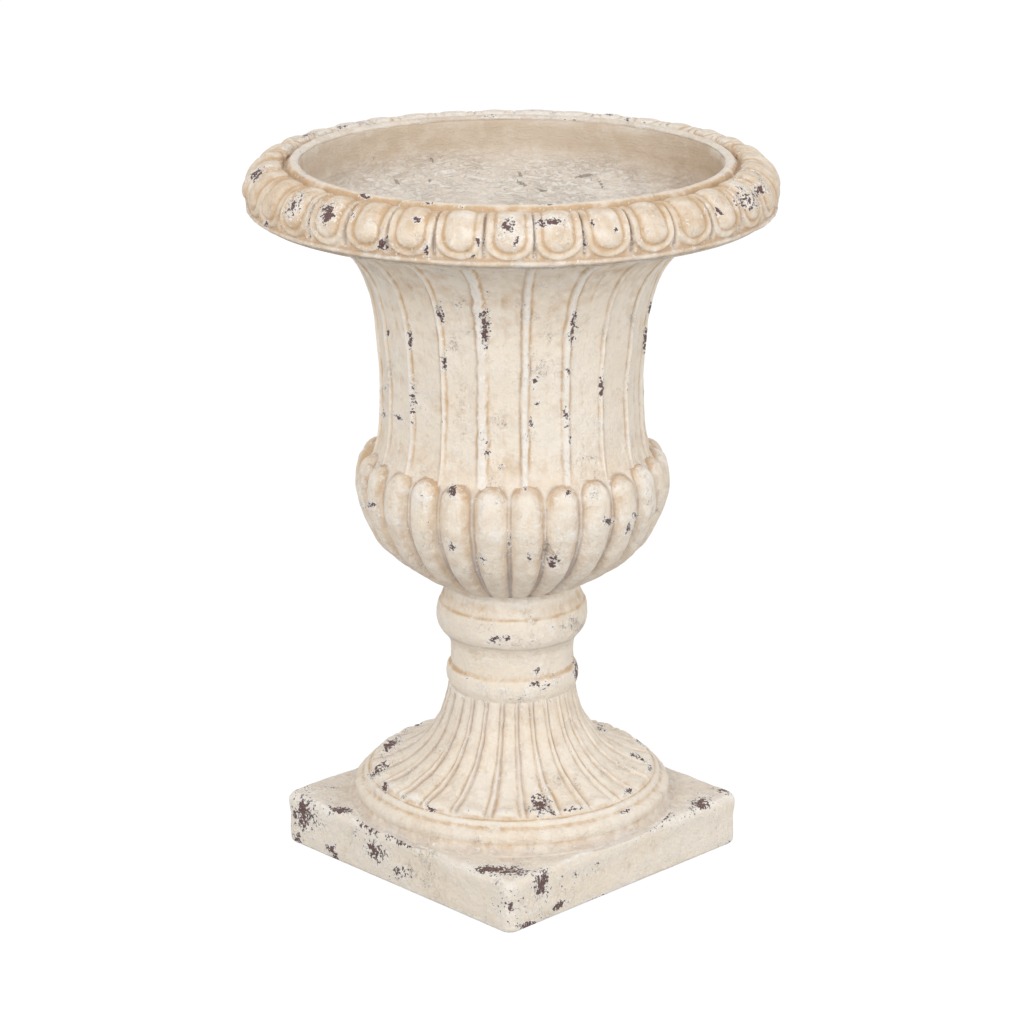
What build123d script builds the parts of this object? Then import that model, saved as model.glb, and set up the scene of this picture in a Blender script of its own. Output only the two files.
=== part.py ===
from build123d import *
import math
import os

# Footed garden urn: a bell-shaped bowl with an egg and dart rim, flutes and gadroons, bolted to a
# pedestal with a turned stem, a trumpet foot of lobes and a square plinth.
# Lengths are in millimetres and angles in degrees. The origin is the middle of the underside.

# Plinth
plinth_side = 293.8
plinth_height = 49.4
plinth_corner_radius = 13.0
plinth_edge = 3.0
plinth_wall = 19.0

# Round mouldings on the plinth
skirt_radius = 145.6
skirt_height = 10.1
ring_radius = 142.8
ring_height = 10.0
ring_bulge = 2.4
bead_radius = 134.7
bead_height = 5.4
bead_bulge = 1.3

# Lobed trumpet foot
foot_end_radius = 130.0
foot_top_radius = 57.0
foot_height = 83.1
foot_lobe_depth = 3.2
foot_lobe_count = 26
foot_lobe_turn = 1.0

# Stem, from its lower ring up to the collar
lower_ring_height = 20.0
lower_ring_bulge = 3.6
stem_radius = 55.6
stem_height = 22.0
torus_height = 38.0
torus_bulge = 7.6
neck_radius = 64.9
neck_top_radius = 60.0
neck_height = 15.5
neck_hollow = 1.0
collar_radius = 65.6
collar_height = 6.5
collar_hollow = 0.9
pedestal_wall = 17.0
web_thickness = 22.0

# Joint between the pedestal and the bowl
joint_radius = 66.5
bedding_thickness = 2.0
bedding_margin = 2.5
spigot_radius = 34.0
spigot_height = 9.0
socket_clearance = 1.5
socket_gap = 1.5

# Gadrooned belly
belly_radius = 139.2
belly_height = 134.0
gadroon_count = 26
gadroon_depth = 7.0
gadroon_turn = -3.9

# Fluted bell
waist_radius = 117.0
bell_height = 196.5
flute_count = 20
flute_hollow = 3.2
rib_width = 4.6
rib_side_width = 1.2
rib_turn = -3.0
bowl_wall = 14.0
floor_thickness = 18.0

# Egg and dart rim, whose round section is an ellipse
rim_radius = 230.6
rim_height = 47.5
rim_round_half_width = 23.6
rim_round_half_height = 25.8
rim_round_drop = 29.0
rim_band_inset = 1.2
rim_band_rise = 4.8
rim_underside_inset = 6.4
egg_count = 35
egg_bulge = 3.2
egg_turn = 1.3
dart_depth = 3.6

# Lip inside the rim
lip_radius = 195.4
lip_height = 6.6
lip_flat_radius = 190.5
lip_bulge = 1.2
mouth_radius = 183.4
mouth_edge = 2.5

# Rod, nuts and washers that hold the bowl down
rod_radius = 6.0
rod_end_length = 6.0
rod_chamfer = 1.0
rod_clearance = 1.0
thread_clearance = 0.1
nut_across_flats = 18.0
nut_height = 10.8
top_washer_radius = 16.0
top_washer_thickness = 2.5
top_seal_thickness = 3.0
bottom_washer_side = 30.0
bottom_washer_turn = 45.0
bottom_washer_thickness = 4.0

# Drain holes through the floor of the bowl and the web below it
drain_count = 3
drain_radius = 4.5
drain_circle_radius = 24.5

overrun = 5.0

# Flats that each round form is drawn with
foot_lobe_flats = 3
gadroon_flats = 4
torus_flats = 6
ring_flats = 4
moulding_flats = 2
turned_sides = 48
hollow_sides = 36
flatness = 0.001

# Heights above the ground
skirt_top = plinth_height + skirt_height
ring_top = skirt_top + ring_height
bead_top = ring_top + bead_height
foot_top = bead_top + foot_height
lower_ring_top = foot_top + lower_ring_height
stem_top = lower_ring_top + stem_height
torus_top = stem_top + torus_height
neck_top = torus_top + neck_height
pedestal_top = neck_top + collar_height
joint_height = pedestal_top + bedding_thickness
belly_top = joint_height + belly_height
rim_bottom = belly_top + bell_height
urn_height = rim_bottom + rim_height

spigot_bottom = joint_height - spigot_height
socket_bottom = spigot_bottom - socket_gap
web_bottom = socket_bottom - web_thickness
floor_top = joint_height + floor_thickness

# Levels of the lobed foot: share of its height, share of the way from its top radius to its end
# radius, share of the lobe depth
foot_level_shares = (
    (0.0, 0.985, 1.0),
    (0.04, 1.0, 1.0),
    (0.1, 0.78, 1.0),
    (0.23, 0.485, 0.8),
    (0.45, 0.23, 0.6),
    (0.68, 0.09, 0.5),
    (1.0, 0.0, 0.4),
)

# Levels of the belly: share of its height, share of the way from the joint's radius to the
# belly's radius, share of the gadroon depth
belly_level_shares = (
    (0.0, 0.04, 0.35),
    (0.1, 0.36, 0.6),
    (0.23, 0.66, 1.0),
    (0.4, 0.88, 1.0),
    (0.59, 1.0, 1.0),
    (0.75, 0.99, 1.05),
    (0.86, 0.91, 1.15),
    (0.91, 0.8, 1.4),
    (0.97, 0.6, 1.0),
)

# Levels of the bell: share of its height, share of the way from the waist's radius to the rim's
# radius, share of the flute hollow
bell_level_shares = (
    (-0.08, 0.022, 1.0),
    (0.2, 0.0, 1.0),
    (0.45, 0.022, 1.0),
    (0.65, 0.078, 1.0),
    (0.78, 0.17, 1.0),
    (0.88, 0.335, 0.95),
    (0.95, 0.57, 0.75),
    (1.01, 0.926, 0.1),
)

# One flute: depth of its floor beside a rib, as a share of its deepest
flute_edge_share = 0.72

# One egg with its darts: share of the pitch, share of the egg's bulge
egg_outline_shares = ((0.1, 0.0), (0.36, 1.0), (0.64, 1.0), (0.9, 0.0))

# Levels of the rim's round section: angle up from its outermost point, share of the full relief
egg_level_shares = (
    (-20, 0.1),
    (-4, 0.9),
    (22, 1.0),
    (48, 1.0),
    (74, 0.9),
    (112, 0.0),
)

# Hollow of the pedestal under its foot: share of the foot's height, share of the way from the
# stem's inside to the foot's inside
foot_hollow_shares = ((0.0, 0.75), (0.25, 0.25), (1.0, 0.0))


def at(radius, angle, height):
    """The point at this radius, angle and height."""
    turn = math.radians(angle)
    return (radius * math.cos(turn), radius * math.sin(turn), height)


def arc_points(start, end, rise, flats):
    """The points of an arc drawn as a few flats. Its middle stands this far out of its chord."""
    arc = SagittaArc(start, end, -rise, mode=Mode.PRIVATE)
    return [tuple(arc @ (flat / flats))[:2] for flat in range(flats + 1)]


def lobed_ring(count, turn, valley_radius, crest_radius, flats, height):
    """The points of a ring of convex lobes that meet in sharp valleys."""
    points = []
    for number in range(count * flats):
        across = number % flats / flats
        rise = 1 - (2 * across - 1) ** 2
        radius = valley_radius + (crest_radius - valley_radius) * rise
        points.append(at(radius, turn + number / flats * 360 / count, height))
    return points


def fluted_ring(crest_radius, hollow, height):
    """The points of a ring of shallow channels with a raised rib between each two."""
    pitch = 360 / flute_count
    half_rib = math.degrees(rib_width / 2 / crest_radius)
    side = math.degrees(rib_side_width / crest_radius)
    edge_radius = crest_radius - hollow * flute_edge_share
    points = []
    for flute in range(flute_count):
        rib = rib_turn + flute * pitch
        points.append(at(crest_radius, rib - half_rib, height))
        points.append(at(crest_radius, rib + half_rib, height))
        points.append(at(edge_radius, rib + half_rib + side, height))
        points.append(at(crest_radius - hollow, rib + pitch / 2, height))
        points.append(at(edge_radius, rib + pitch - half_rib - side, height))
    return points


def egg_ring(radius, slope, height, relief_share):
    """The points of a ring of eggs with a dart groove between each two, raised along the slope."""
    pitch = 360 / egg_count
    outward = math.cos(math.radians(slope))
    upward = math.sin(math.radians(slope))
    unit_reliefs = [(0, -dart_depth)]
    unit_reliefs += [(across, egg_bulge * bulge) for across, bulge in egg_outline_shares]
    points = []
    for unit in range(egg_count):
        for across, relief in unit_reliefs:
            lift = relief * relief_share
            angle = egg_turn + (unit + across) * pitch
            points.append(at(radius + lift * outward, angle, height + lift * upward))
    return points


def patch(start, end, above_end, above):
    """The corner points of the one or two flat faces between four points."""
    lift = (Vector(end) - Vector(start)).cross(Vector(above) - Vector(start)).normalized()
    if abs(lift.dot(Vector(above_end) - Vector(start))) < flatness:
        return [(start, end, above_end, above)]
    if math.dist(start, above_end) < math.dist(end, above):
        return [(start, end, above_end), (start, above_end, above)]
    return [(start, end, above), (end, above_end, above)]


def flat_sided(rings):
    """A solid of flat faces between rings of equally many points, closed below and above."""
    outlines = [rings[0], rings[-1]]
    for lower, upper in zip(rings, rings[1:]):
        for number in range(len(lower)):
            beside = (number + 1) % len(lower)
            outlines += patch(lower[number], lower[beside], upper[beside], upper[number])
    return Solid(Shell([Face(Wire.make_polygon(outline)) for outline in outlines]))


def turned(profile, sides):
    """A turned solid, drawn with flat sides, from its profile of radii and heights."""
    return flat_sided(
        [[at(radius, side * 360 / sides, height) for side in range(sides)] for radius, height in profile]
    )


def inner_line(outer_points, wall):
    """The points of a wall's inner side, each one wall thickness in from the outer side."""
    inner_points = []
    for before, point, after in zip(outer_points, outer_points[1:], outer_points[2:]):
        run = math.dist(before, after)
        inward = (after[1] - before[1]) / run
        upward = (after[0] - before[0]) / run
        inner_points.append((point[0] - wall * inward, point[1] + wall * upward))
    return inner_points


# Belly with its gadroons
belly_rings = []
for height_share, radius_share, depth_share in belly_level_shares:
    crest = joint_radius + (belly_radius - joint_radius) * radius_share
    valley = crest - gadroon_depth * depth_share
    height = joint_height + belly_height * height_share
    belly_rings.append(lobed_ring(gadroon_count, gadroon_turn, valley, crest, gadroon_flats, height))
belly_form = flat_sided(belly_rings)


# Fluted bell, which starts inside the belly so that the gadroons end in arches against it
bell_rings = []
for height_share, radius_share, hollow_share in bell_level_shares:
    crest = waist_radius + (rim_radius - waist_radius) * radius_share
    height = belly_top + bell_height * height_share
    bell_rings.append(fluted_ring(crest, flute_hollow * hollow_share, height))
bell_form = flat_sided(bell_rings)


# Rim: a plain band below and the eggs and darts round its elliptical section
rim_rings = [
    egg_ring(rim_radius - rim_underside_inset, 0, rim_bottom, 0),
    egg_ring(rim_radius - rim_band_inset, 0, rim_bottom + rim_band_rise, 0),
]
for angle, relief_share in egg_level_shares:
    slope = math.radians(angle)
    radius = rim_radius - rim_round_half_width * (1 - math.cos(slope))
    height = urn_height - rim_round_drop + rim_round_half_height * math.sin(slope)
    rim_rings.append(egg_ring(radius, angle, height, relief_share))
rim_form = flat_sided(rim_rings)


# Trumpet foot with its lobes
foot_rings = []
for height_share, radius_share, depth_share in foot_level_shares:
    crest = foot_top_radius + (foot_end_radius - foot_top_radius) * radius_share
    valley = crest - foot_lobe_depth * depth_share
    height = bead_top + foot_height * height_share
    foot_rings.append(lobed_ring(foot_lobe_count, foot_lobe_turn, valley, crest, foot_lobe_flats, height))
foot_form = flat_sided(foot_rings)


# Outer line of the bowl at the floors of its flutes and gadroons, which its inside follows
belly_line = [
    (
        joint_radius + (belly_radius - joint_radius) * radius_share - gadroon_depth * depth_share,
        joint_height + belly_height * height_share,
    )
    for height_share, radius_share, depth_share in belly_level_shares[:-2]
]
bell_line = [
    (
        waist_radius + (rim_radius - waist_radius) * radius_share - flute_hollow * hollow_share,
        belly_top + bell_height * height_share,
    )
    for height_share, radius_share, hollow_share in bell_level_shares[1:]
]
bowl_inside = [
    point
    for point in inner_line(belly_line + bell_line, bowl_wall)
    if point[1] > floor_top and point[0] < mouth_radius
]
floor_radius = bowl_inside[0][0] - floor_thickness
mouth_bottom = bowl_inside[-1][1] + bowl_wall


# Lip, a low roll inside the eggs
lip_bottom = urn_height - rim_round_drop
lip_edge = (lip_radius, urn_height - lip_height)
lip_form = turned(
    [(lip_radius, lip_bottom), *arc_points(lip_edge, (lip_flat_radius, urn_height), lip_bulge, moulding_flats)],
    turned_sides,
)


# Room inside the bowl: a hand-laid wall of about one thickness, up to the round mouth
bowl_room = turned(
    [
        (floor_radius, floor_top),
        *bowl_inside,
        (mouth_radius, mouth_bottom),
        (mouth_radius, urn_height - mouth_edge),
        (mouth_radius + mouth_edge, urn_height),
        (mouth_radius + mouth_edge, urn_height + overrun),
    ],
    hollow_sides,
)


# Bowl: one casting from the spigot up to the lip
with BuildPart() as bowl:
    add([belly_form, bell_form, rim_form, lip_form])
    # Spigot that drops into the pedestal
    with BuildSketch(Plane.XY.offset(spigot_bottom)):
        Circle(spigot_radius)
    extrude(amount=spigot_height + floor_thickness / 2)
    add(bowl_room, mode=Mode.SUBTRACT)
    # Bolt hole and drain holes
    with Locations((0, 0, floor_top)):
        Hole(rod_radius + rod_clearance, depth=floor_top - spigot_bottom)
        with PolarLocations(drain_circle_radius, drain_count):
            Hole(drain_radius, depth=floor_top - spigot_bottom)
bowl.part.label = "bowl"


# Round mouldings, from the plinth in to the ends of the lobes
skirt_foot = plinth_height - plinth_edge
moulding_form = turned(
    [
        (skirt_radius, skirt_foot),
        (skirt_radius, plinth_height),
        *arc_points((ring_radius, skirt_top), (bead_radius, ring_top), ring_bulge, moulding_flats),
        *arc_points((bead_radius, ring_top), (foot_end_radius, bead_top), bead_bulge, moulding_flats)[1:],
    ],
    turned_sides,
)


# Lower ring, stem, big torus, hollow neck and collar
stem_start = (stem_radius, lower_ring_top)
stem_end = (stem_radius, stem_top)
torus_end = (neck_radius, torus_top)
neck_end = (neck_top_radius, neck_top)
collar_end = (collar_radius, pedestal_top)
stem_form = turned(
    [
        *arc_points((foot_top_radius, foot_top), stem_start, lower_ring_bulge, ring_flats),
        *arc_points(stem_end, torus_end, torus_bulge, torus_flats),
        *arc_points(torus_end, neck_end, -neck_hollow, moulding_flats)[1:],
        *arc_points(neck_end, collar_end, -collar_hollow, moulding_flats)[1:],
    ],
    turned_sides,
)


# Hollow under the pedestal, from the roof of the plinth up to the web
plinth_roof = plinth_height - plinth_wall
stem_inside = stem_radius - pedestal_wall
foot_inside = foot_end_radius - pedestal_wall
foot_hollow = [
    (stem_inside + (foot_inside - stem_inside) * radius_share, ring_top + (foot_top - ring_top) * height_share)
    for height_share, radius_share in foot_hollow_shares
]
pedestal_room = turned(
    [(foot_inside, plinth_roof - overrun), (foot_inside, plinth_roof), *foot_hollow, (stem_inside, web_bottom)],
    hollow_sides,
)


# Pedestal: one casting from the plinth up to the collar, open below
with BuildPart() as pedestal:
    # Plinth
    with BuildSketch():
        RectangleRounded(plinth_side, plinth_side, plinth_corner_radius)
    extrude(amount=plinth_height)
    plinth_faces = pedestal.faces().filter_by(Axis.Z).sort_by(Axis.Z)
    chamfer(plinth_faces[-1].edges(), plinth_edge)
    add([foot_form, moulding_form, stem_form])
    # Hollow below: square in the plinth, then round up to the web
    plinth_inside = plinth_side - 2 * plinth_wall
    with BuildSketch():
        RectangleRounded(plinth_inside, plinth_inside, plinth_corner_radius)
    extrude(amount=plinth_roof, mode=Mode.SUBTRACT)
    add(pedestal_room, mode=Mode.SUBTRACT)
    # Socket for the spigot, bolt hole and drain holes
    with Locations((0, 0, pedestal_top)):
        Hole(spigot_radius + socket_clearance, depth=pedestal_top - socket_bottom)
        Hole(rod_radius + rod_clearance, depth=pedestal_top - web_bottom)
        with PolarLocations(drain_circle_radius, drain_count):
            Hole(drain_radius, depth=pedestal_top - web_bottom)
pedestal.part.label = "pedestal"


# Bedding ring that the bowl sits on
with BuildPart() as bedding_ring:
    with BuildSketch(Plane.XY.offset(pedestal_top)):
        RegularPolygon(joint_radius - bedding_margin, turned_sides)
        Circle(spigot_radius + socket_clearance, mode=Mode.SUBTRACT)
    extrude(amount=bedding_thickness)
bedding_ring.part.label = "bedding_ring"


# Rubber seal on the floor of the bowl
with BuildPart() as top_seal:
    with BuildSketch(Plane.XY.offset(floor_top)):
        Circle(top_washer_radius)
        Circle(rod_radius + thread_clearance, mode=Mode.SUBTRACT)
    extrude(amount=top_seal_thickness)
top_seal.part.label = "top_seal"


# Steel washer over the seal
top_washer_bottom = floor_top + top_seal_thickness
with BuildPart() as top_washer:
    with BuildSketch(Plane.XY.offset(top_washer_bottom)):
        Circle(top_washer_radius)
        Circle(rod_radius + rod_clearance / 2, mode=Mode.SUBTRACT)
    extrude(amount=top_washer_thickness)
top_washer.part.label = "top_washer"


# Upper nut
top_nut_bottom = top_washer_bottom + top_washer_thickness
with BuildPart() as top_nut:
    with BuildSketch(Plane.XY.offset(top_nut_bottom)):
        RegularPolygon(nut_across_flats / 2, 6, major_radius=False)
    extrude(amount=nut_height)
    with Locations((0, 0, top_nut_bottom + nut_height)):
        Hole(rod_radius + thread_clearance, depth=nut_height)
top_nut.part.label = "top_nut"


# Square plate washer under the web
bottom_washer_bottom = web_bottom - bottom_washer_thickness
with BuildPart() as bottom_washer:
    with BuildSketch(Plane.XY.offset(bottom_washer_bottom)):
        Rectangle(bottom_washer_side, bottom_washer_side, rotation=bottom_washer_turn)
        Circle(rod_radius + rod_clearance / 2, mode=Mode.SUBTRACT)
    extrude(amount=bottom_washer_thickness)
bottom_washer.part.label = "bottom_washer"


# Lower nut
bottom_nut_bottom = bottom_washer_bottom - nut_height
with BuildPart() as bottom_nut:
    with BuildSketch(Plane.XY.offset(bottom_nut_bottom)):
        RegularPolygon(nut_across_flats / 2, 6, major_radius=False)
    extrude(amount=nut_height)
    with Locations((0, 0, bottom_washer_bottom)):
        Hole(rod_radius + thread_clearance, depth=nut_height)
bottom_nut.part.label = "bottom_nut"


# Threaded rod through both castings
rod_bottom = bottom_nut_bottom - rod_end_length
rod_top = top_nut_bottom + nut_height + rod_end_length
with BuildPart() as tie_rod:
    with BuildSketch(Plane.XY.offset(rod_bottom)):
        Circle(rod_radius)
    extrude(amount=rod_top - rod_bottom)
    chamfer(tie_rod.edges().filter_by(GeomType.CIRCLE), rod_chamfer)
tie_rod.part.label = "tie_rod"


pieces = (
    bowl,
    pedestal,
    bedding_ring,
    tie_rod,
    top_seal,
    top_washer,
    top_nut,
    bottom_washer,
    bottom_nut,
)
os.makedirs("parts", exist_ok=True)
for piece in pieces:
    export_step(piece.part, f"parts/{piece.part.label}.step")
print("urn height", round(urn_height, 2), "joint height", round(joint_height, 2))
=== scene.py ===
import itertools
import math

import bmesh
import bpy
import numpy as np
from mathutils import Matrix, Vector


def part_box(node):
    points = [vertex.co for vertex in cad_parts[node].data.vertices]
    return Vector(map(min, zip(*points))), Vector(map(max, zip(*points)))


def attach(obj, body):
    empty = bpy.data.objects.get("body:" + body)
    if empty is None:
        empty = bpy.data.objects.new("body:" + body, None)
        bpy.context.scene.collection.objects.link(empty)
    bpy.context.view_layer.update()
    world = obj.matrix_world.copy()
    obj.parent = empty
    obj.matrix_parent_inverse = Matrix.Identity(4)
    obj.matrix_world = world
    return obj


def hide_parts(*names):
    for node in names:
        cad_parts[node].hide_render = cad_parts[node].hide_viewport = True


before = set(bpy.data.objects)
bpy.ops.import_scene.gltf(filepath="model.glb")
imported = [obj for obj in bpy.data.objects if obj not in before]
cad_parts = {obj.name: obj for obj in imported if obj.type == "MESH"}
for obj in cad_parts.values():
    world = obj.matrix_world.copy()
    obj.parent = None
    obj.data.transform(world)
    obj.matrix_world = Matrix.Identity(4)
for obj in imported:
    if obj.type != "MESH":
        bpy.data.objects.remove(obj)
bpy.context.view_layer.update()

# A footed garden urn, cast and hand laid, painted ivory, washed with ochre and chipped.
# Outlines are in millimetres from the middle of the ground under the plinth.
MM = 0.001

# Ornament: how many round the urn, and the angle in degrees where the first one starts
egg_count, egg_turn = 35, 1.3
flute_count, flute_turn = 20, -3.0
gadroon_count, gadroon_turn = 26, -3.9
lobe_count, lobe_turn = 26, 1.0


def node_heights(node):
    """The lowest and highest height of a node, in millimetres."""
    low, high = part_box(node)
    return low[2] / MM, high[2] / MM


def half_width_of(node):
    """How far a node reaches out from the middle, in millimetres."""
    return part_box(node)[1][0] / MM


# Heights and widths that the cast pieces and the fixings share, taken from the frame
spigot_bottom, urn_height = node_heights("bowl")
pedestal_top = node_heights("pedestal")[1]
web_bottom = node_heights("bottom_washer")[1]
bedding_low, joint_height = node_heights("bedding_ring")
floor_top = node_heights("top_seal")[0]
plinth_half_side = half_width_of("pedestal")

# Radii of the holes through the floor of the bowl and the web of the pedestal
bolt_hole = 7.0
drain_hole = 4.5
drain_circle = 24.5
drain_count = 3

# What each channel of the wash and painted shading records: hollows (ochre wash and painted shade), worn
# edges and painted light, bare chips, and lilac painted shade or, in plaster, a rough coat
RECESS, RAISED, CHIPPED, SHADE_OR_ROUGH = range(4)

# Camera, fitted to the photograph
picture_side = 1024
focal_pixels = 3381.6
sensor_width = 36.0
camera_distance = 2872.7
camera_height = 1239.8
camera_azimuth = 45.6
camera_pitch = 17.793


def camera_axes():
    """Where the camera stands, and its forward, right and upward directions."""
    turn = math.radians(camera_azimuth)
    drop = math.radians(camera_pitch)
    place = np.array((camera_distance * math.sin(turn), -camera_distance * math.cos(turn), camera_height))
    level = np.array((-math.sin(turn), math.cos(turn), 0.0))
    right = np.array((math.cos(turn), math.sin(turn), 0.0))
    forward = level * math.cos(drop) + np.array((0, 0, -math.sin(drop)))
    return place, forward, right, np.cross(right, forward)


def pixels_of(points):
    """Where the camera sees these points, in pixels of the photograph."""
    place, forward, right, upward = camera_axes()
    away = points - place
    depth = away @ forward
    middle = picture_side / 2
    across = middle + focal_pixels * (away @ right) / depth
    down = middle - focal_pixels * (away @ upward) / depth
    return across, down


# Outlines


def arc(centre, radii, start, end, steps):
    """Points on an ellipse's arc. Angles are in degrees from the outward direction."""
    angles = np.radians(np.linspace(start, end, steps + 1))
    return [(centre[0] + radii[0] * math.cos(a), centre[1] + radii[1] * math.sin(a)) for a in angles]


def curve(points, spacing):
    """Points at this spacing on a smooth curve through the given ones."""
    knots = np.array(points, float)
    lengths = np.hypot(*np.diff(knots, axis=0).T)
    marks = np.concatenate(([0], np.cumsum(lengths)))
    slopes = np.gradient(knots, marks, axis=0)
    steps = max(1, round(marks[-1] / spacing))
    places = np.linspace(0, marks[-1], steps + 1)
    span = np.clip(np.searchsorted(marks, places, side="right") - 1, 0, len(lengths) - 1)
    length = lengths[span][:, None]
    share = (places - marks[span])[:, None] / length
    start, end = knots[span], knots[span + 1]
    drift = length * (slopes[span] * (1 - share) - slopes[span + 1] * share)
    eased = share * share * (3 - 2 * share)
    bend = share * (1 - share) * drift
    return [tuple(point) for point in start + (end - start) * eased + bend]


def joined(*parts):
    """One closed outline of several runs of points, without doubled points."""
    outline = []
    for point in itertools.chain(*parts):
        if not outline or math.dist(point, outline[-1]) > 0.05:
            outline.append(point)
    if math.dist(outline[0], outline[-1]) < 0.05:
        outline.pop()
    return outline


def line_length(line):
    """How long a line of points is."""
    return sum(math.dist(before, after) for before, after in itertools.pairwise(line))


def from_rounded(sideways, lengthwise, corner):
    """The distance outside a rounded rectangle, less than 0 inside it."""
    beyond = np.hypot(np.maximum(sideways, 0), np.maximum(lengthwise, 0))
    return beyond + np.minimum(np.maximum(sideways, lengthwise), 0) - corner


# Noise and steps


def cloud(points, size, seed):
    """Smooth noise from -1 to 1 whose lumps are about this many millimetres across."""
    spots = points / size + seed * 7.31
    cells = np.floor(spots).astype(np.int64)
    shares = spots - cells
    shares = shares * shares * (3 - 2 * shares)
    total = np.zeros(len(points))
    for corner in itertools.product((0, 1), repeat=3):
        x, y, z = (cells + corner).T
        mixed = (x * 374761393 + y * 668265263 + z * 2147483647 + seed * 974711) & 0xFFFFFFFF
        mixed = ((mixed ^ (mixed >> 13)) * 1274126177) & 0xFFFFFFFF
        mixed = ((mixed ^ (mixed >> 16)) * 668265263) & 0xFFFFFFFF
        weight = np.where(np.array(corner, bool), shares, 1 - shares).prod(axis=1)
        total += weight * (mixed / 0xFFFFFFFF * 2 - 1)
    return total


def clouds(points, seed, *heights_and_sizes):
    """Several sizes of smooth noise on top of each other."""
    numbered = enumerate(heights_and_sizes, seed)
    return sum(height * cloud(points, size, number) for number, (height, size) in numbered)


def step(values, start, end):
    """0 before start and 1 after end, with a soft change between them."""
    share = np.clip((values - start) / (end - start), 0, 1)
    return share * share * (3 - 2 * share)


def between(values, start, full, fading, end):
    """0 before start and after end, and 1 from full to fading."""
    return step(values, start, full) * (1 - step(values, fading, end))


def bump(values, middle, half_width):
    """1 at the middle and 0 past the half width."""
    return np.clip(1 - ((values - middle) / half_width) ** 2, 0, 1) ** 2


# Turned forms


def new_object(name, data):
    """An object of the scene that shows this data."""
    made = bpy.data.objects.new(name, data)
    bpy.context.scene.collection.objects.link(made)
    return made


def new_mesh(name, shape):
    """A mesh with the finished shape, which is freed."""
    mesh = bpy.data.meshes.new(name)
    shape.to_mesh(mesh)
    shape.free()
    return mesh


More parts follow.
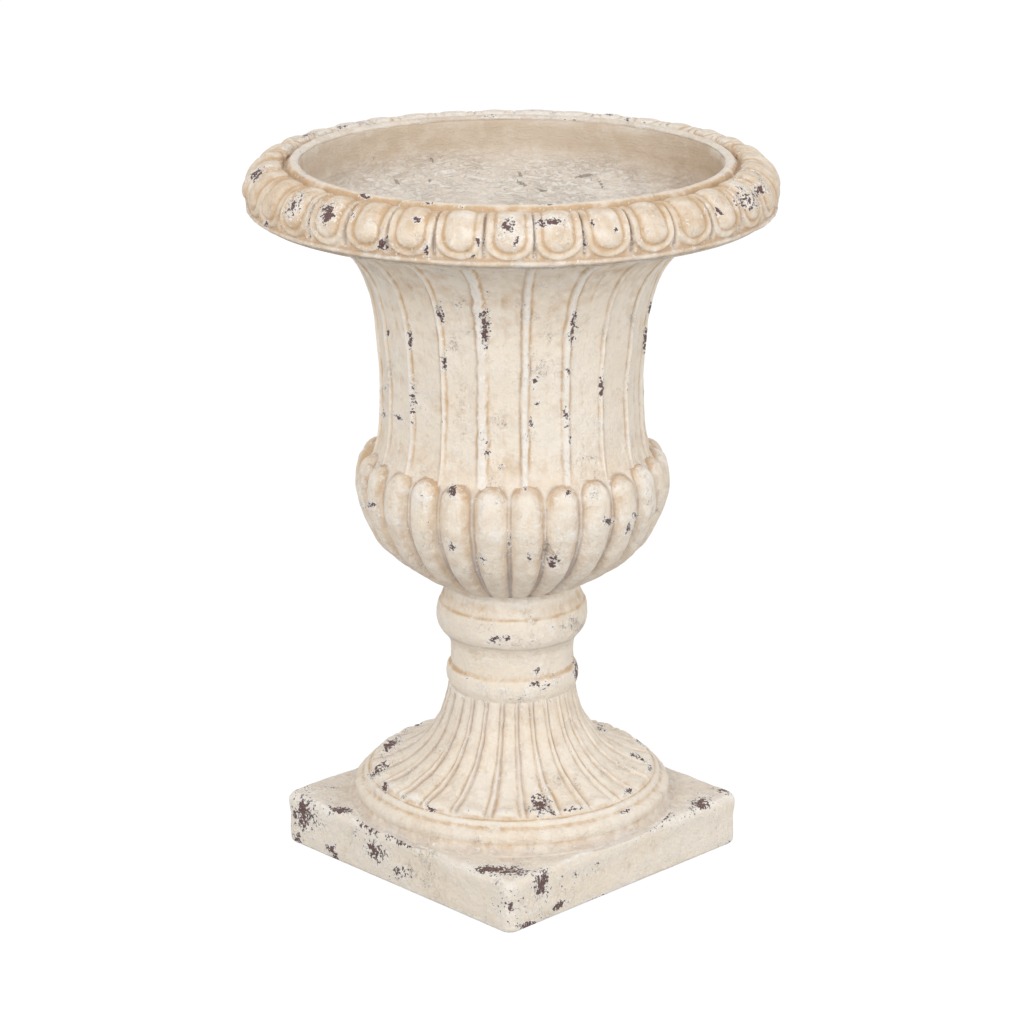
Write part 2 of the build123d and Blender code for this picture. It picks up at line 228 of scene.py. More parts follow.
class Turned:
    """A closed form spun from an outline, with its points as arrays that code can move."""

    def __init__(self, name, outline, units, columns, turn=0.0, crowding=0.0):
        self.name = name
        self.units = units
        self.outline = np.array(outline, float)
        shape = bmesh.new()
        place = shape.verts.layers.int.new("place")
        start = math.radians(turn)
        unit = 2 * math.pi / units
        across, beside = math.cos(start) * MM, math.sin(start) * MM
        verts = [shape.verts.new((r * across, r * beside, z * MM)) for r, z in outline]
        for number, vert in enumerate(verts):
            vert[place] = number
        edges = [shape.edges.new(pair) for pair in zip(verts, verts[1:] + verts[:1])]
        axis = (0, 0, 1)
        bmesh.ops.spin(shape, geom=verts + edges, axis=axis, angle=unit, steps=columns)
        whole = shape.verts[:] + shape.edges[:] + shape.faces[:]
        rest = 2 * math.pi - unit
        bmesh.ops.spin(shape, geom=whole, axis=axis, angle=rest, steps=units - 1, use_duplicate=True)
        bmesh.ops.remove_doubles(shape, verts=shape.verts, dist=0.01 * MM)
        bmesh.ops.recalc_face_normals(shape, faces=shape.faces)
        self.mesh = new_mesh(name, shape)
        self.mesh.polygons.foreach_set("use_smooth", np.ones(len(self.mesh.polygons), bool))
        self.measure(start, unit, crowding)

    def measure(self, start, unit, crowding):
        """Reads each point's place on the outline and its share of the way through its unit."""
        size = len(self.mesh.vertices)
        points = np.empty(size * 3)
        self.mesh.vertices.foreach_get("co", points)
        points = points.reshape(-1, 3)
        place = np.empty(size, np.int32)
        self.mesh.attributes["place"].data.foreach_get("value", place)
        self.mesh.attributes.remove(self.mesh.attributes["place"])
        before = np.roll(self.outline, 1, axis=0)
        after = np.roll(self.outline, -1, axis=0)
        run = after - before
        length = np.hypot(run[:, 0], run[:, 1])
        area = np.sum(self.outline[:, 0] * after[:, 1] - after[:, 0] * self.outline[:, 1])
        outward = np.stack((run[:, 1], -run[:, 0]), axis=1) / length[:, None] * math.copysign(1, area)
        steps = np.hypot(*np.diff(self.outline, axis=0).T)
        self.run = np.concatenate(([0], np.cumsum(steps)))[place]
        self.radius = self.outline[place, 0]
        self.height = self.outline[place, 1]
        self.outward = outward[place]
        turns = ((np.arctan2(points[:, 1], points[:, 0]) - start) % (2 * math.pi)) / unit
        self.unit = np.floor(turns + 1e-6).astype(int) % self.units
        share = np.clip(turns - np.floor(turns + 1e-6), 0, 1)
        self.share = share - crowding * np.sin(2 * math.pi * share) / (2 * math.pi)
        self.angle = start + (self.unit + self.share) * unit
        self.pitch = unit * self.radius
        self.push = np.zeros(size)
        self.wash_and_shading = np.zeros((size, 4))

    def nearest_edge(self):
        """The number of the nearest edge between two units, and how far past it each point is."""
        past_middle = self.share > 0.5
        return (self.unit + past_middle) % self.units, (self.share - past_middle) * self.pitch

    def points_at(self, radius, height):
        """Points at this radius and height, in millimetres."""
        return np.column_stack((radius * np.cos(self.angle), radius * np.sin(self.angle), height))

    def base_points(self):
        """The points before they are pushed, in millimetres."""
        return self.points_at(self.radius, self.height)

    def pushed_points(self):
        """The points moved out along the outline's normal, in millimetres."""
        radial, upward = self.outward.T
        return self.points_at(self.radius + self.push * radial, self.height + self.push * upward)

    def place_points(self, points=None):
        """Writes the finished points, which are the pushed ones if no others are given."""
        if points is None:
            points = self.pushed_points()
        points[:, 2] = np.clip(points[:, 2], 0, urn_height)
        self.points = points
        self.mesh.vertices.foreach_set("co", (points * MM).ravel())
        self.mesh.update()
        normals = np.empty(len(points) * 3)
        self.mesh.vertex_normals.foreach_get("vector", normals)
        self.normals = normals.reshape(-1, 3)

    def hollows(self, rounds):
        """How far each point lies below its smoothed surroundings, in millimetres."""
        ends = np.empty(len(self.mesh.edges) * 2, np.int32)
        self.mesh.edges.foreach_get("vertices", ends)
        one, other = ends.reshape(-1, 2).T
        size = len(self.points)
        count = np.bincount(ends, minlength=size)
        smooth = self.points
        for _ in range(rounds):
            columns = []
            for values in smooth.T:
                total = np.bincount(one, values[other], size) + np.bincount(other, values[one], size)
                columns.append((values + total / count) / 2)
            smooth = np.stack(columns, axis=1)
        return np.sum((smooth - self.points) * self.normals, axis=1)

    def spots(self, named_spots):
        """How strongly each point lies in one of the named spots of the photograph."""
        across, down = pixels_of(self.points)
        place = camera_axes()[0]
        facing = step(np.sum((place - self.points) * self.normals, axis=1) / camera_distance, 0.0, 0.15)
        strongest = np.zeros(len(self.points))
        for x, y, half_width, half_height, lean in named_spots:
            slant = math.radians(lean)
            along = (across - x) * math.cos(slant) + (down - y) * math.sin(slant)
            beside = (down - y) * math.cos(slant) - (across - x) * math.sin(slant)
            reach = (along / half_width) ** 2 + (beside / half_height) ** 2
            strongest = np.maximum(strongest, np.exp(-reach * 0.7))
        return strongest * facing

    def mark(self, channel, amount):
        """Raises a channel of the wash and painted shading to at least this amount."""
        self.wash_and_shading[:, channel] = np.maximum(self.wash_and_shading[:, channel], amount)

    def finish(self, material, node, slot):
        """Makes the object, hangs it on the root body and hides the part of model.glb that it replaces."""
        layer = self.mesh.attributes.new("wash_and_shading", "FLOAT_COLOR", "POINT")
        layer.data.foreach_set("color", np.clip(self.wash_and_shading, 0, 1).ravel())
        piece = new_object(self.name, self.mesh)
        piece.data.materials.append(material)
        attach(piece, "root")
        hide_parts(node)
        return piece


def away(form):
    """0 on the side of the urn nearest the camera, and 1 on the far side."""
    return (1 - np.cos(form.angle - math.radians(camera_azimuth - 90))) / 2


def sidewards(form):
    """1 at the urn's right side in the picture, -1 at its left side, and 0 in front and behind."""
    return np.cos(form.angle - math.radians(camera_azimuth))


def weather(form, seed, visible, lumps=0.35, grain=0.12):
    """Adds the unevenness of hand casting to the push of the visible points."""
    sizes = (lumps, 38), (lumps * 0.8, 15), (grain * 1.5, 6), (grain * 0.8, 2.4)
    form.push = form.push + visible * clouds(form.base_points(), seed, *sizes)


def stain_and_shade(form, seed, chips, wear_and_light=1.0, ochre_and_shade=0.0):
    """Sets how much ochre wash and painted shade lie in the hollows and where asked, how worn the edges are,
    with painted light where asked, and where paint is chipped.
    """
    fine = form.hollows(6)
    broad = form.hollows(30)
    patchy = cloud(form.points, 30, seed + 5)
    broken = 0.8 + clouds(form.points, seed + 7, (0.45, 12), (0.3, 5))
    recess = np.clip(fine / 0.3, 0, 1) * 0.4 + np.clip(broad / 0.9, 0, 1) * 0.6
    raised = np.clip(-fine / 0.25, 0, 1) * 0.5 + np.clip(-broad / 1.2, 0, 1) * 0.2
    form.wash_and_shading[:, RECESS] = recess * (1 + 0.4 * patchy) * broken + ochre_and_shade * broken
    form.wash_and_shading[:, RAISED] = raised * (0.8 + 0.6 * patchy) * wear_and_light
    edge_chips = np.clip(-fine / 0.25 - 0.4, 0, 1) * step(cloud(form.points, 24, seed + 6), 0.15, 0.8)
    form.wash_and_shading[:, CHIPPED] = np.maximum(form.spots(chips), edge_chips * 0.5 * wear_and_light)


# Materials


def linear(red, green, blue):
    """A colour given from 0 to 255 as seen on a screen, as light."""
    shares = (red / 255, green / 255, blue / 255)
    return tuple(s / 12.92 if s <= 0.04045 else ((s + 0.055) / 1.055) ** 2.4 for s in shares) + (1.0,)


class Value:
    """A socket of numbers that Python's operators work on."""

    def __init__(self, shader, socket):
        self.shader = shader
        self.socket = socket

    def maths(self, operation, *values):
        """A maths node on these values."""
        return self.shader.node("ShaderNodeMath", {"operation": operation}, dict(enumerate(values)))

    def __add__(self, other):
        return self.maths("ADD", self, other)

    def __radd__(self, other):
        return self.maths("ADD", other, self)

    def __sub__(self, other):
        return self.maths("SUBTRACT", self, other)

    def __rsub__(self, other):
        return self.maths("SUBTRACT", other, self)

    def __mul__(self, other):
        return self.maths("MULTIPLY", self, other)

    def __rmul__(self, other):
        return self.maths("MULTIPLY", other, self)

    def clamped(self):
        """The same, kept from 0 to 1."""
        settings = {"operation": "ADD", "use_clamp": True}
        return self.shader.node("ShaderNodeMath", settings, {0: self, 1: 0.0})

    def rising(self, start, end):
        """0 below start and 1 above end."""
        return ((self - start) * (1 / (end - start))).clamped()

    def near(self, middle, reach):
        """1 at the middle and 0 past this reach on both sides of it."""
        return (1 - self.maths("ABSOLUTE", self - middle) * (1 / reach)).clamped()


class Tree:
    """The nodes of a material or of the world."""

    def __init__(self, owner):
        owner.use_nodes = True
        self.owner = owner
        self.nodes = owner.node_tree.nodes
        self.links = owner.node_tree.links

    def node(self, kind, settings, inputs, output=0):
        """Adds a node, sets its settings, then the values or links of its sockets."""
        node = self.nodes.new(kind)
        for name, value in settings.items():
            setattr(node, name, value)
        for name, value in inputs.items():
            self.feed(node.inputs[name], value)
        return Value(self, node.outputs[output])

    def feed(self, socket, value):
        """Links a value to a socket, or sets it there."""
        if isinstance(value, Value):
            self.links.new(value.socket, socket)
        else:
            socket.default_value = value

    def looked_at(self):
        """1 for the rays by which the camera or a shiny surface sees this, and 0 for its light."""
        camera = self.node("ShaderNodeLightPath", {}, {}, "Is Camera Ray")
        shine = self.node("ShaderNodeLightPath", {}, {}, "Is Glossy Ray")
        return camera.maths("MAXIMUM", camera, shine)


class Shader(Tree):
    """A new material on a principled shader."""

    def __init__(self, name):
        super().__init__(bpy.data.materials.new(name))
        self.principled = self.nodes["Principled BSDF"]
        self.place = self.node("ShaderNodeTexCoord", {}, {}, "Object")

    def noise(self, size, detail=3.0, roughness=0.55, stretch=(1, 1, 1), distortion=0.0):
        """Noise from about 0.25 to 0.75 whose lumps are this many millimetres across."""
        inputs = {"Vector": self.place, "Scale": tuple(side / (size * MM) for side in stretch)}
        mapped = self.node("ShaderNodeMapping", {"vector_type": "POINT"}, inputs)
        inputs = {
            "Vector": mapped,
            "Scale": 1.0,
            "Detail": detail,
            "Roughness": roughness,
            "Distortion": distortion,
        }
        return self.node("ShaderNodeTexNoise", {}, inputs)

    def mix(self, share, first, second):
        """A colour this share of the way from the first to the second."""
        settings = {"data_type": "RGBA", "clamp_factor": True}
        return self.node("ShaderNodeMix", settings, {0: share, 6: first, 7: second}, 2)

    def wash_and_shading(self):
        """The piece's own record of wash and painted shade in hollows, worn edges and painted light, chips,
        and lilac painted shade or rough coat.
        """
        settings = {"attribute_type": "GEOMETRY", "attribute_name": "wash_and_shading"}
        colour = self.node("ShaderNodeAttribute", settings, {}, "Color")
        split = self.node("ShaderNodeSeparateColor", {}, {0: colour}).socket.node
        shade_or_rough = self.node("ShaderNodeAttribute", settings, {}, "Alpha")
        return [Value(self, split.outputs[number]) for number in range(3)] + [shade_or_rough]

    def finish(self, colour, roughness, height, distance=MM):
        """Feeds the shader and returns the material."""
        self.feed(self.principled.inputs["Base Color"], colour)
        self.feed(self.principled.inputs["Roughness"], roughness)
        inputs = {"Height": height, "Distance": distance, "Strength": 1.0}
        normal = self.node("ShaderNodeBump", {}, inputs)
        self.feed(self.principled.inputs["Normal"], normal)
        return self.owner


ivory = linear(241, 231, 217)
warm_ivory = linear(238, 223, 202)
cool_ivory = linear(230, 222, 212)
# Ochre wash, also laid as painted shade; a deeper tone, part wash and part painted shade, for the deepest
# hollows; and a pale white for worn edges and painted light.
ochre_wash_and_shade = linear(204, 167, 122)
deep_wash_and_shade = linear(142, 108, 80)
worn_and_lit_white = linear(247, 243, 237)
lilac_shade = linear(184, 174, 172)
bare_cast = linear(92, 66, 64)
bare_cast_light = linear(128, 102, 98)


def worn_paint(name):
    """Ivory paint with an ochre wash and painted shade in its hollows, worn pale on its edges, painted light
    and lilac painted shade where the piece asks, and chipped to the cast.
    """
    shader = Shader(name)
    recess, raised, chipped, shade_or_rough = shader.wash_and_shading()
    drift = shader.noise(55, 2)
    cluster = shader.noise(26, 3, 0.6)
    blotch = shader.noise(12, 4, 0.6)
    brushed = shader.noise(6, 4, 0.6, stretch=(1, 1, 0.25))
    ragged = shader.noise(5, 5, 0.62, distortion=0.6)
    flecks = shader.noise(2.2, 5, 0.65)
    dust = shader.noise(0.8, 3, 0.6)
    colour = shader.mix(drift.rising(0.35, 0.65) * 0.7, ivory, warm_ivory)
    colour = shader.mix(blotch.rising(0.46, 0.66) * 0.4, colour, cool_ivory)
    uneven = (blotch - 0.5) * 0.8 + (brushed - 0.5) * 0.6 + (flecks - 0.5) * 0.4
    # The ochre covers the wash and painted shade in hollows and where a piece asks.
    stained_and_shaded = (recess * 1.1 + uneven).rising(0.1, 1.0)
    colour = shader.mix(stained_and_shaded * 0.8, colour, ochre_wash_and_shade)
    # The deepest hollows get a darker tone, part wash and part painted shade.
    deepest = (recess + (flecks - 0.5) * 1.2).rising(0.95, 1.6)
    colour = shader.mix(deepest * 0.55, colour, deep_wash_and_shade)
    # Lilac painted shade.
    shaded = (shade_or_rough + (blotch - 0.5) * 0.6).rising(0.1, 1.0)
    colour = shader.mix(shaded * 0.75, colour, lilac_shade)
    # Pale paint on worn edges, and painted light where a piece asks.
    worn_and_lit = (raised * 0.9 + (ragged - 0.5) * 1.3 + (cluster - 0.5) * 1.0).rising(0.3, 0.8)
    colour = shader.mix(worn_and_lit * 0.65, colour, worn_and_lit_white)
    vein = blotch.near(0.5, 0.006) * cluster.rising(0.52, 0.6)
    colour = shader.mix(vein * 0.45, colour, ochre_wash_and_shade)
    flake = ragged * 1.2 + flecks * 1.3 + chipped * 0.52 + (cluster - 0.5) * 0.5
    border = flake.rising(1.46, 1.56)
    colour = shader.mix(border * 0.85, colour, worn_and_lit_white)
    chip = flake.rising(1.65, 1.68)
    bare = shader.mix(dust.rising(0.4, 0.7), bare_cast, bare_cast_light)
    colour = shader.mix(chip, colour, bare)
    speck = (dust * 0.6 + flecks * 0.6 + (cluster - 0.5) * 0.9).rising(0.82, 0.86)
    colour = shader.mix(speck * 0.55, colour, bare_cast_light)
    roughness = 0.72 + dust * 0.15 - chip * 0.08
    strokes = shader.noise(2.6, 5, 0.65, stretch=(1, 1, 0.22))
    height = blotch * 2.0 + brushed * 0.9 + ragged * 1.2 + strokes * 1.0 + flecks * 1.0 + dust * 0.25
    height = height - chip * 0.7 - speck * 0.3 - vein * 0.3
    return shader.finish(colour, roughness, height)


def plaster(name):
    """Rough hand-laid plaster, brushed over with thin ivory and brown wash, with painted shade in its hollows
    and on one side.
    """
    shader = Shader(name)
    recess, raised, chipped, shade_or_rough = shader.wash_and_shading()
    drift = shader.noise(70, 3)
    blotch = shader.noise(18, 4, 0.6)
    brushed = shader.noise(5, 4, 0.6, stretch=(1, 1, 3.0))
    smear = shader.noise(9, 5, 0.65, stretch=(1, 1, 3.5), distortion=0.8)
    flecks = shader.noise(2.0, 5, 0.65)
    colour = shader.mix(drift.rising(0.4, 0.62) * 0.7, linear(217, 200, 180), linear(208, 189, 166))
    colour = shader.mix(blotch.rising(0.48, 0.66) * 0.4, colour, linear(234, 223, 208))
    rough_coat = shader.mix(smear.rising(0.42, 0.6), linear(238, 226, 212), linear(248, 241, 232))
    colour = shader.mix(shade_or_rough, colour, rough_coat)
    # The brown mask carries wash in the hollows and painted shade on one side of the wall.
    stained_and_shaded = (recess * 1.2 + (brushed - 0.5) * 0.9).rising(0.2, 1.2)
    colour = shader.mix(stained_and_shaded * 0.7, colour, linear(174, 147, 118))
    crack = smear.near(0.5, 0.007) * drift.rising(0.48, 0.56) * shade_or_rough
    colour = shader.mix(crack * 0.6, colour, linear(150, 122, 96))
    colour = shader.mix((raised + (blotch - 0.5)).rising(0.3, 1.0) * 0.5, colour, linear(236, 229, 217))
    chip = (flecks + chipped * 0.62).rising(0.84, 0.88)
    colour = shader.mix(chip * 0.6, colour, linear(112, 88, 72))
    roughness = 0.85 + (flecks - 0.5) * 0.2
    height = brushed * (0.8 + shade_or_rough * 0.6) + flecks * 1.0 + smear * (1.0 + shade_or_rough * 2.2)
    height = height + blotch * (1.0 + shade_or_rough * 1.2) - chip * 0.3 - crack * 0.6
    return shader.finish(colour, roughness, height)


def bare_casting(name):
    """Unpainted inside of a casting, dusty grey-brown."""
    shader = Shader(name)
    blotch = shader.noise(20, 4, 0.6)
    flecks = shader.noise(2.5, 5, 0.65)
    colour = shader.mix(blotch.rising(0.35, 0.65), linear(150, 133, 118), linear(178, 163, 146))
    colour = shader.mix(flecks.rising(0.55, 0.7) * 0.5, colour, linear(112, 95, 86))
    height = blotch * 0.8 + flecks * 0.5
    return shader.finish(colour, 0.85 + (flecks - 0.5) * 0.2, height)


def zinc_plate(name):
    """Bright zinc plating with fine turning marks and a dull film in patches."""
    shader = Shader(name)
    film = shader.noise(4, 4, 0.6)
    marks = shader.noise(0.5, 2, 0.5, stretch=(1, 1, 6))
    colour = shader.mix(film.rising(0.4, 0.65), linear(206, 206, 200), linear(176, 174, 164))
    shader.feed(shader.principled.inputs["Metallic"], 0.9)
    return shader.finish(colour, 0.32 + film * 0.25, marks * 0.03 + film * 0.03)


def black_rubber(name):
    """Matt black rubber with dust in its grain."""
    shader = Shader(name)
    grain = shader.noise(1.2, 4, 0.6)
    colour = shader.mix(grain.rising(0.45, 0.75) * 0.5, linear(38, 37, 36), linear(78, 74, 68))
    return shader.finish(colour, 0.75 + grain * 0.15, grain * 0.08)


def bedding_compound(name):
    """Grey-buff compound that was pressed out of the joint."""
    shader = Shader(name)
    grain = shader.noise(2, 4, 0.6)
    lump = shader.noise(9, 3, 0.6)
    colour = shader.mix(lump.rising(0.4, 0.65), linear(186, 175, 160), linear(160, 147, 131))
    colour = shader.mix(grain.rising(0.55, 0.7) * 0.6, colour, linear(126, 112, 100))
    return shader.finish(colour, 0.8 + grain * 0.1, grain * 0.3 + lump * 0.3)


bowl_finish = worn_paint("bowl_worn_ivory_paint")
pedestal_finish = worn_paint("pedestal_worn_ivory_paint")
plaster_finish = plaster("hand_laid_plaster")
casting_finish = bare_casting("bare_casting")
zinc_finish = zinc_plate("zinc_plated_steel")
rubber_finish = black_rubber("black_rubber")
bedding_finish = bedding_compound("bedding_compound")


# Chips of the photograph: x, y, half width, half height in its pixels, and lean in degrees
rim_chips = (
    (328, 214, 17, 8, -50), (293, 207, 13, 6, -60), (255, 176, 12, 4, -35), (352, 215, 3, 3, 0),
    (416, 219, 5, 4, 20), (305, 136, 4, 2, -10), (341, 127, 8, 2, -12), (508, 226, 9, 8, 10),
    (516, 242, 3, 9, 20), (549, 222, 17, 5, -10), (592, 223, 4, 3, 30), (616, 230, 3, 3, 0),
    (720, 213, 5, 5, 40), (744, 199, 13, 10, 30), (759, 190, 7, 6, 30), (609, 114, 5, 2, 5),
    (627, 120, 2, 3, 0), (644, 123, 3, 2, 0), (266, 224, 3, 3, 0), (427, 250, 3, 7, 5),
    (478, 242, 2, 6, 0), (474, 256, 3, 2, 0), (381, 244, 3, 6, 20),
)
lip_chips = (
    (492, 112, 7, 4, 0), (365, 196, 6, 3, 15), (428, 203, 4, 2, 0), (549, 204, 8, 2, -5), (463, 207, 4, 2, 0),
)
bell_chips = (
    (410, 337, 3, 14, -5), (413, 401, 3, 20, 0), (441, 315, 3, 9, -10), (445, 364, 4, 10, 0),
    (485, 329, 5, 24, 0), (486, 453, 4, 5, 0), (385, 388, 3, 5, 0), (388, 333, 2, 4, 0),
    (384, 414, 3, 5, 0), (398, 417, 7, 2.5, 40), (535, 382, 3, 7, 0), (537, 403, 4, 2, 0),
    (531, 422, 3, 8, 0), (573, 327, 3, 22, 5), (568, 371, 3, 3, 0), (566, 417, 4, 13, -5),
    (570, 438, 2, 6, 0), (601, 388, 3, 14, 3), (650, 310, 2.5, 8, 5), (646, 338, 2.5, 13, 5),
)
belly_chips = (
    (453, 491, 5, 6, 0), (452, 548, 6, 6, 0), (482, 559, 4, 5, 0), (552, 562, 7, 6, -40),
    (569, 493, 4, 4, 0), (608, 521, 4, 6, -40), (628, 528, 4, 7, 10), (634, 515, 4, 4, 0),
    (529, 556, 3, 5, 0), (509, 540, 2, 8, 0), (371, 505, 4, 4, 0), (524, 489, 3, 3, 0),
    (428, 523, 2, 2, 0),
)
stem_chips = (
    (493, 640, 9, 4, -15), (507, 639, 5, 3, 0), (537, 671, 4, 4, 0), (538, 684, 7, 4, 0),
    (549, 685, 2, 2, 0), (543, 690, 4, 1.5, -10), (576, 670, 3, 9, 5), (482, 704, 3, 3, 0),
    (552, 628, 2, 2, 0),
)
foot_chips = (
    (390, 746, 14, 6, -40), (380, 769, 14, 6, -45), (419, 723, 6, 3, -25), (385, 787, 3, 6, 0),
    (404, 797, 4, 3, 0), (431, 809, 6, 3, 15), (540, 804, 9, 11, 0), (552, 812, 7, 3, 30),
    (574, 809, 12, 3, -10), (628, 791, 6, 3, -25), (626, 811, 9, 2.5, -25), (638, 757, 14, 3, 25),
    (650, 768, 3, 5, 0), (601, 728, 6, 3, 25), (640, 741, 6, 3, 50),
)
plinth_chips = (
    (303, 811, 10, 24, 5), (298, 838, 5, 12, 0), (340, 810, 14, 4, 5), (371, 827, 19, 9, 24),
    (398, 838, 18, 6, 23), (377, 851, 15, 9, 45), (400, 873, 8, 8, 30), (331, 848, 6, 5, 25),
    (335, 858, 4, 4, 0), (500, 870, 34, 6, 3), (541, 884, 8, 16, -5), (509, 906, 6, 6, 0),
    (484, 926, 8, 3, 20), (527, 925, 7, 4, -20), (560, 905, 8, 4, -30), (640, 823, 34, 6, -18),
    (622, 831, 12, 5, -16), (700, 805, 16, 8, -20), (727, 789, 9, 6, 0), (683, 764, 9, 2, 20),
)
plinth_flakes = (
    (510, 905, 24, 20, 0), (314, 818, 18, 26, 0), (362, 818, 26, 8, 20), (692, 812, 20, 14, -20),
    (652, 828, 34, 6, -18), (585, 872, 40, 8, -22), (470, 868, 20, 6, 10),
)


# Lip: the rounded roll round the mouth, with a hollow face down to the tops of the eggs
lip_roll = [
    (184.6, 635.6), (183.9, 637.4), (185.6, 639.2), (188.0, 639.8), (190.4, 639.6), (192.6, 638.2),
    (193.8, 636.6),
]
lip_outline = joined(
    curve([(186.4, 603), (186.4, 618), (186.2, 631), (184.6, 635.6)], 2.4),
    curve(lip_roll, 1.0),
    curve([(193.8, 636.6), (194.3, 635.2), (195.4, 633.9), (197.0, 633.2), (198.6, 632.2)], 0.9),
    curve([(198.6, 632.2), (200, 626), (196, 612), (190, 603), (186.4, 603)], 4),
)
lip = Turned("bowl_lip", lip_outline, units=36, columns=26)
on_show = 1 - step(lip.run, 50, 58)
weather(lip, 11, on_show, lumps=0.45, grain=0.15)
lip.place_points()
# Painted light and shade: more ochre on the near side of the lip and paler paint and edges on the far side;
# painted shade on the inner roll at the back; lilac painted shade and chips in the crease at the foot of the
# lip.
lip_face = step(lip.radius, 190.5, 193.5) * on_show
lip_foot = step(lip.radius, 195.4, 196.8) * on_show
lip_away = away(lip)
inner_roll_shade = (1 - step(lip.radius, 187.2, 190.2)) * on_show * lip_away**3
lip_ochre_and_shade = 0.3 * (1 - lip_away) + lip_face * (1.1 - 0.6 * lip_away) + 0.3 * inner_roll_shade
stain_and_shade(lip, 12, lip_chips, wear_and_light=0.4 + 0.8 * lip_away, ochre_and_shade=lip_ochre_and_shade)
lip.wash_and_shading[:, RAISED] = (lip.wash_and_shading[:, RAISED] + 0.55 * lip_away) * (1 - lip_face) - inner_roll_shade
lip.mark(CHIPPED, lip_foot * (0.5 + 0.4 * cloud(lip.points, 14, 15)))
lip.wash_and_shading[:, SHADE_OR_ROUGH] = lip_foot * 0.9 + inner_roll_shade * 0.4
lip.finish(bowl_finish, "bowl", "bowl_paint")


# Rim: a round of eggs, each in a raised band, with dart grooves between them
egg_middle, egg_half_length, egg_half_width, egg_square_end = 25.0, 24.5, 12.1, 8.0
egg_stations = (-12, -9, -6, -4, -2.4, -1.2, -0.2, 0.6, 1.3, 2.2, 3.2, 4.2, 5.2, 6.2, 7.0, 7.8, 9)
egg_heights = (3.2, 3.05, 2.6, 2.1, 1.4, 0.6, -0.4, -0.9, -0.3, 0.55, 0.4, 0.6, 1.0, 0.85, 0.2, -0.9, -1.4)
rim_outline = joined(
    [(197.4, 628), (197.6, 632)],
    arc((207, 611), (23.4, 25.8), 112, -20, 62),
    curve([(229.0, 602.2), (229.9, 600.8), (229.5, 599.2), (227.9, 598.0), (225.0, 597.0)], 1.0),
    curve([(225.0, 597.0), (216, 593.4), (204, 592), (196, 596), (196, 612), (197.4, 628)], 8),
)
rim = Turned("bowl_rim", rim_outline, egg_count, columns=34, turn=egg_turn, crowding=0.4)
egg_start, mid_radius = 7, 225
egg_run = rim.run - egg_start
rim_away = away(rim)
base = rim.base_points()
offset = (rim.share - 0.5) * 2 * math.pi / egg_count * mid_radius
luck = np.random.default_rng(5).normal(size=(egg_count, 4))
offset = offset - luck[rim.unit, 0] * 0.5 - luck[rim.unit, 1] * 0.02 * (egg_run - egg_middle)
offset = offset + 0.5 * cloud(base, 13, 25)
half_width = egg_half_width * (1 + 0.035 * luck[rim.unit, 2])
round_end = np.where(egg_run > egg_middle, half_width, egg_square_end)
sideways = np.abs(offset) - half_width + round_end
lengthwise = (np.abs(egg_run - egg_middle) - egg_half_length) * 1.12 + round_end
from_egg = from_rounded(sideways, lengthwise, round_end)
relief = np.interp(from_egg, egg_stations, egg_heights) * (1 + 0.1 * luck[rim.unit, 3])
band_fade = step(from_egg, 1.0, 2.5) * step(cloud(base, 16, 26), 0.0, 0.9)
relief = relief - 0.6 * band_fade
from_dart = np.abs(rim.nearest_edge()[1]) / rim.radius * mid_radius + 0.4 * cloud(base, 11, 27)
dart_width = 0.8 + 0.9 * step(egg_run, 22, 54)
dart = np.exp(-((from_dart / dart_width) ** 2)) * between(egg_run, 1, 6, 53, 57)
relief = relief - 3.0 * dart
top_boldness = 0.3 + 0.65 * sidewards(rim) ** 2
bold_run = step(egg_run, 16 * rim_away**2, 22 + 18 * rim_away**2)
relief = relief * (top_boldness + (1 - top_boldness) * bold_run)
top_of_round = between(egg_run, -4, 4, 10, 26)
relief = relief + 3.2 * rim_away * top_of_round
plain_band = step(egg_run + 0.8 * cloud(base, 14, 28), 55, 59)
relief = relief * (1 - plain_band) + 0.4 * plain_band
on_show = between(rim.run, 1, 4, 74, 80)
rim.push = relief * on_show
weather(rim, 21, on_show, lumps=0.45, grain=0.2)
rim.place_points()
# Ochre wash round each egg. Painted shade: more ochre on the near side of the rim, on the egg tops under the
# lip (more on the left) and under the rim.
under_egg = bump(from_egg, 0.6, 3.0) * (1 - plain_band)
ochre_shade = bump(egg_run, 8, 20) * step(from_egg, -7, 1) * (0.5 + 0.5 * np.clip(-sidewards(rim), 0, 1))
underside_shade = step(rim.run, 68, 73)
near_side_wash_and_shade = (0.5 + 0.12 * np.abs(sidewards(rim))) * (1 - rim_away**2)
stain_and_shade(rim, 22, rim_chips, wear_and_light=0.6, ochre_and_shade=near_side_wash_and_shade + under_egg * 0.28 + ochre_shade * 0.6 + underside_shade * 0.35)
# Painted light: paler egg tops on the far side.
rim.wash_and_shading[:, RAISED] += 0.6 * rim_away**2 * top_of_round
rim.mark(CHIPPED, dart * (0.3 + 0.45 * step(cloud(base, 20, 29), -0.2, 0.5)) * (1 - rim_away))
# Lilac painted shade in the darts, along the top of the plain band and under the rim.
rim.wash_and_shading[:, SHADE_OR_ROUGH] = bump(egg_run, 57, 3) * 0.4 + dart * 0.9 + underside_shade * 0.4
rim.finish(bowl_finish, "bowl", "bowl_paint")


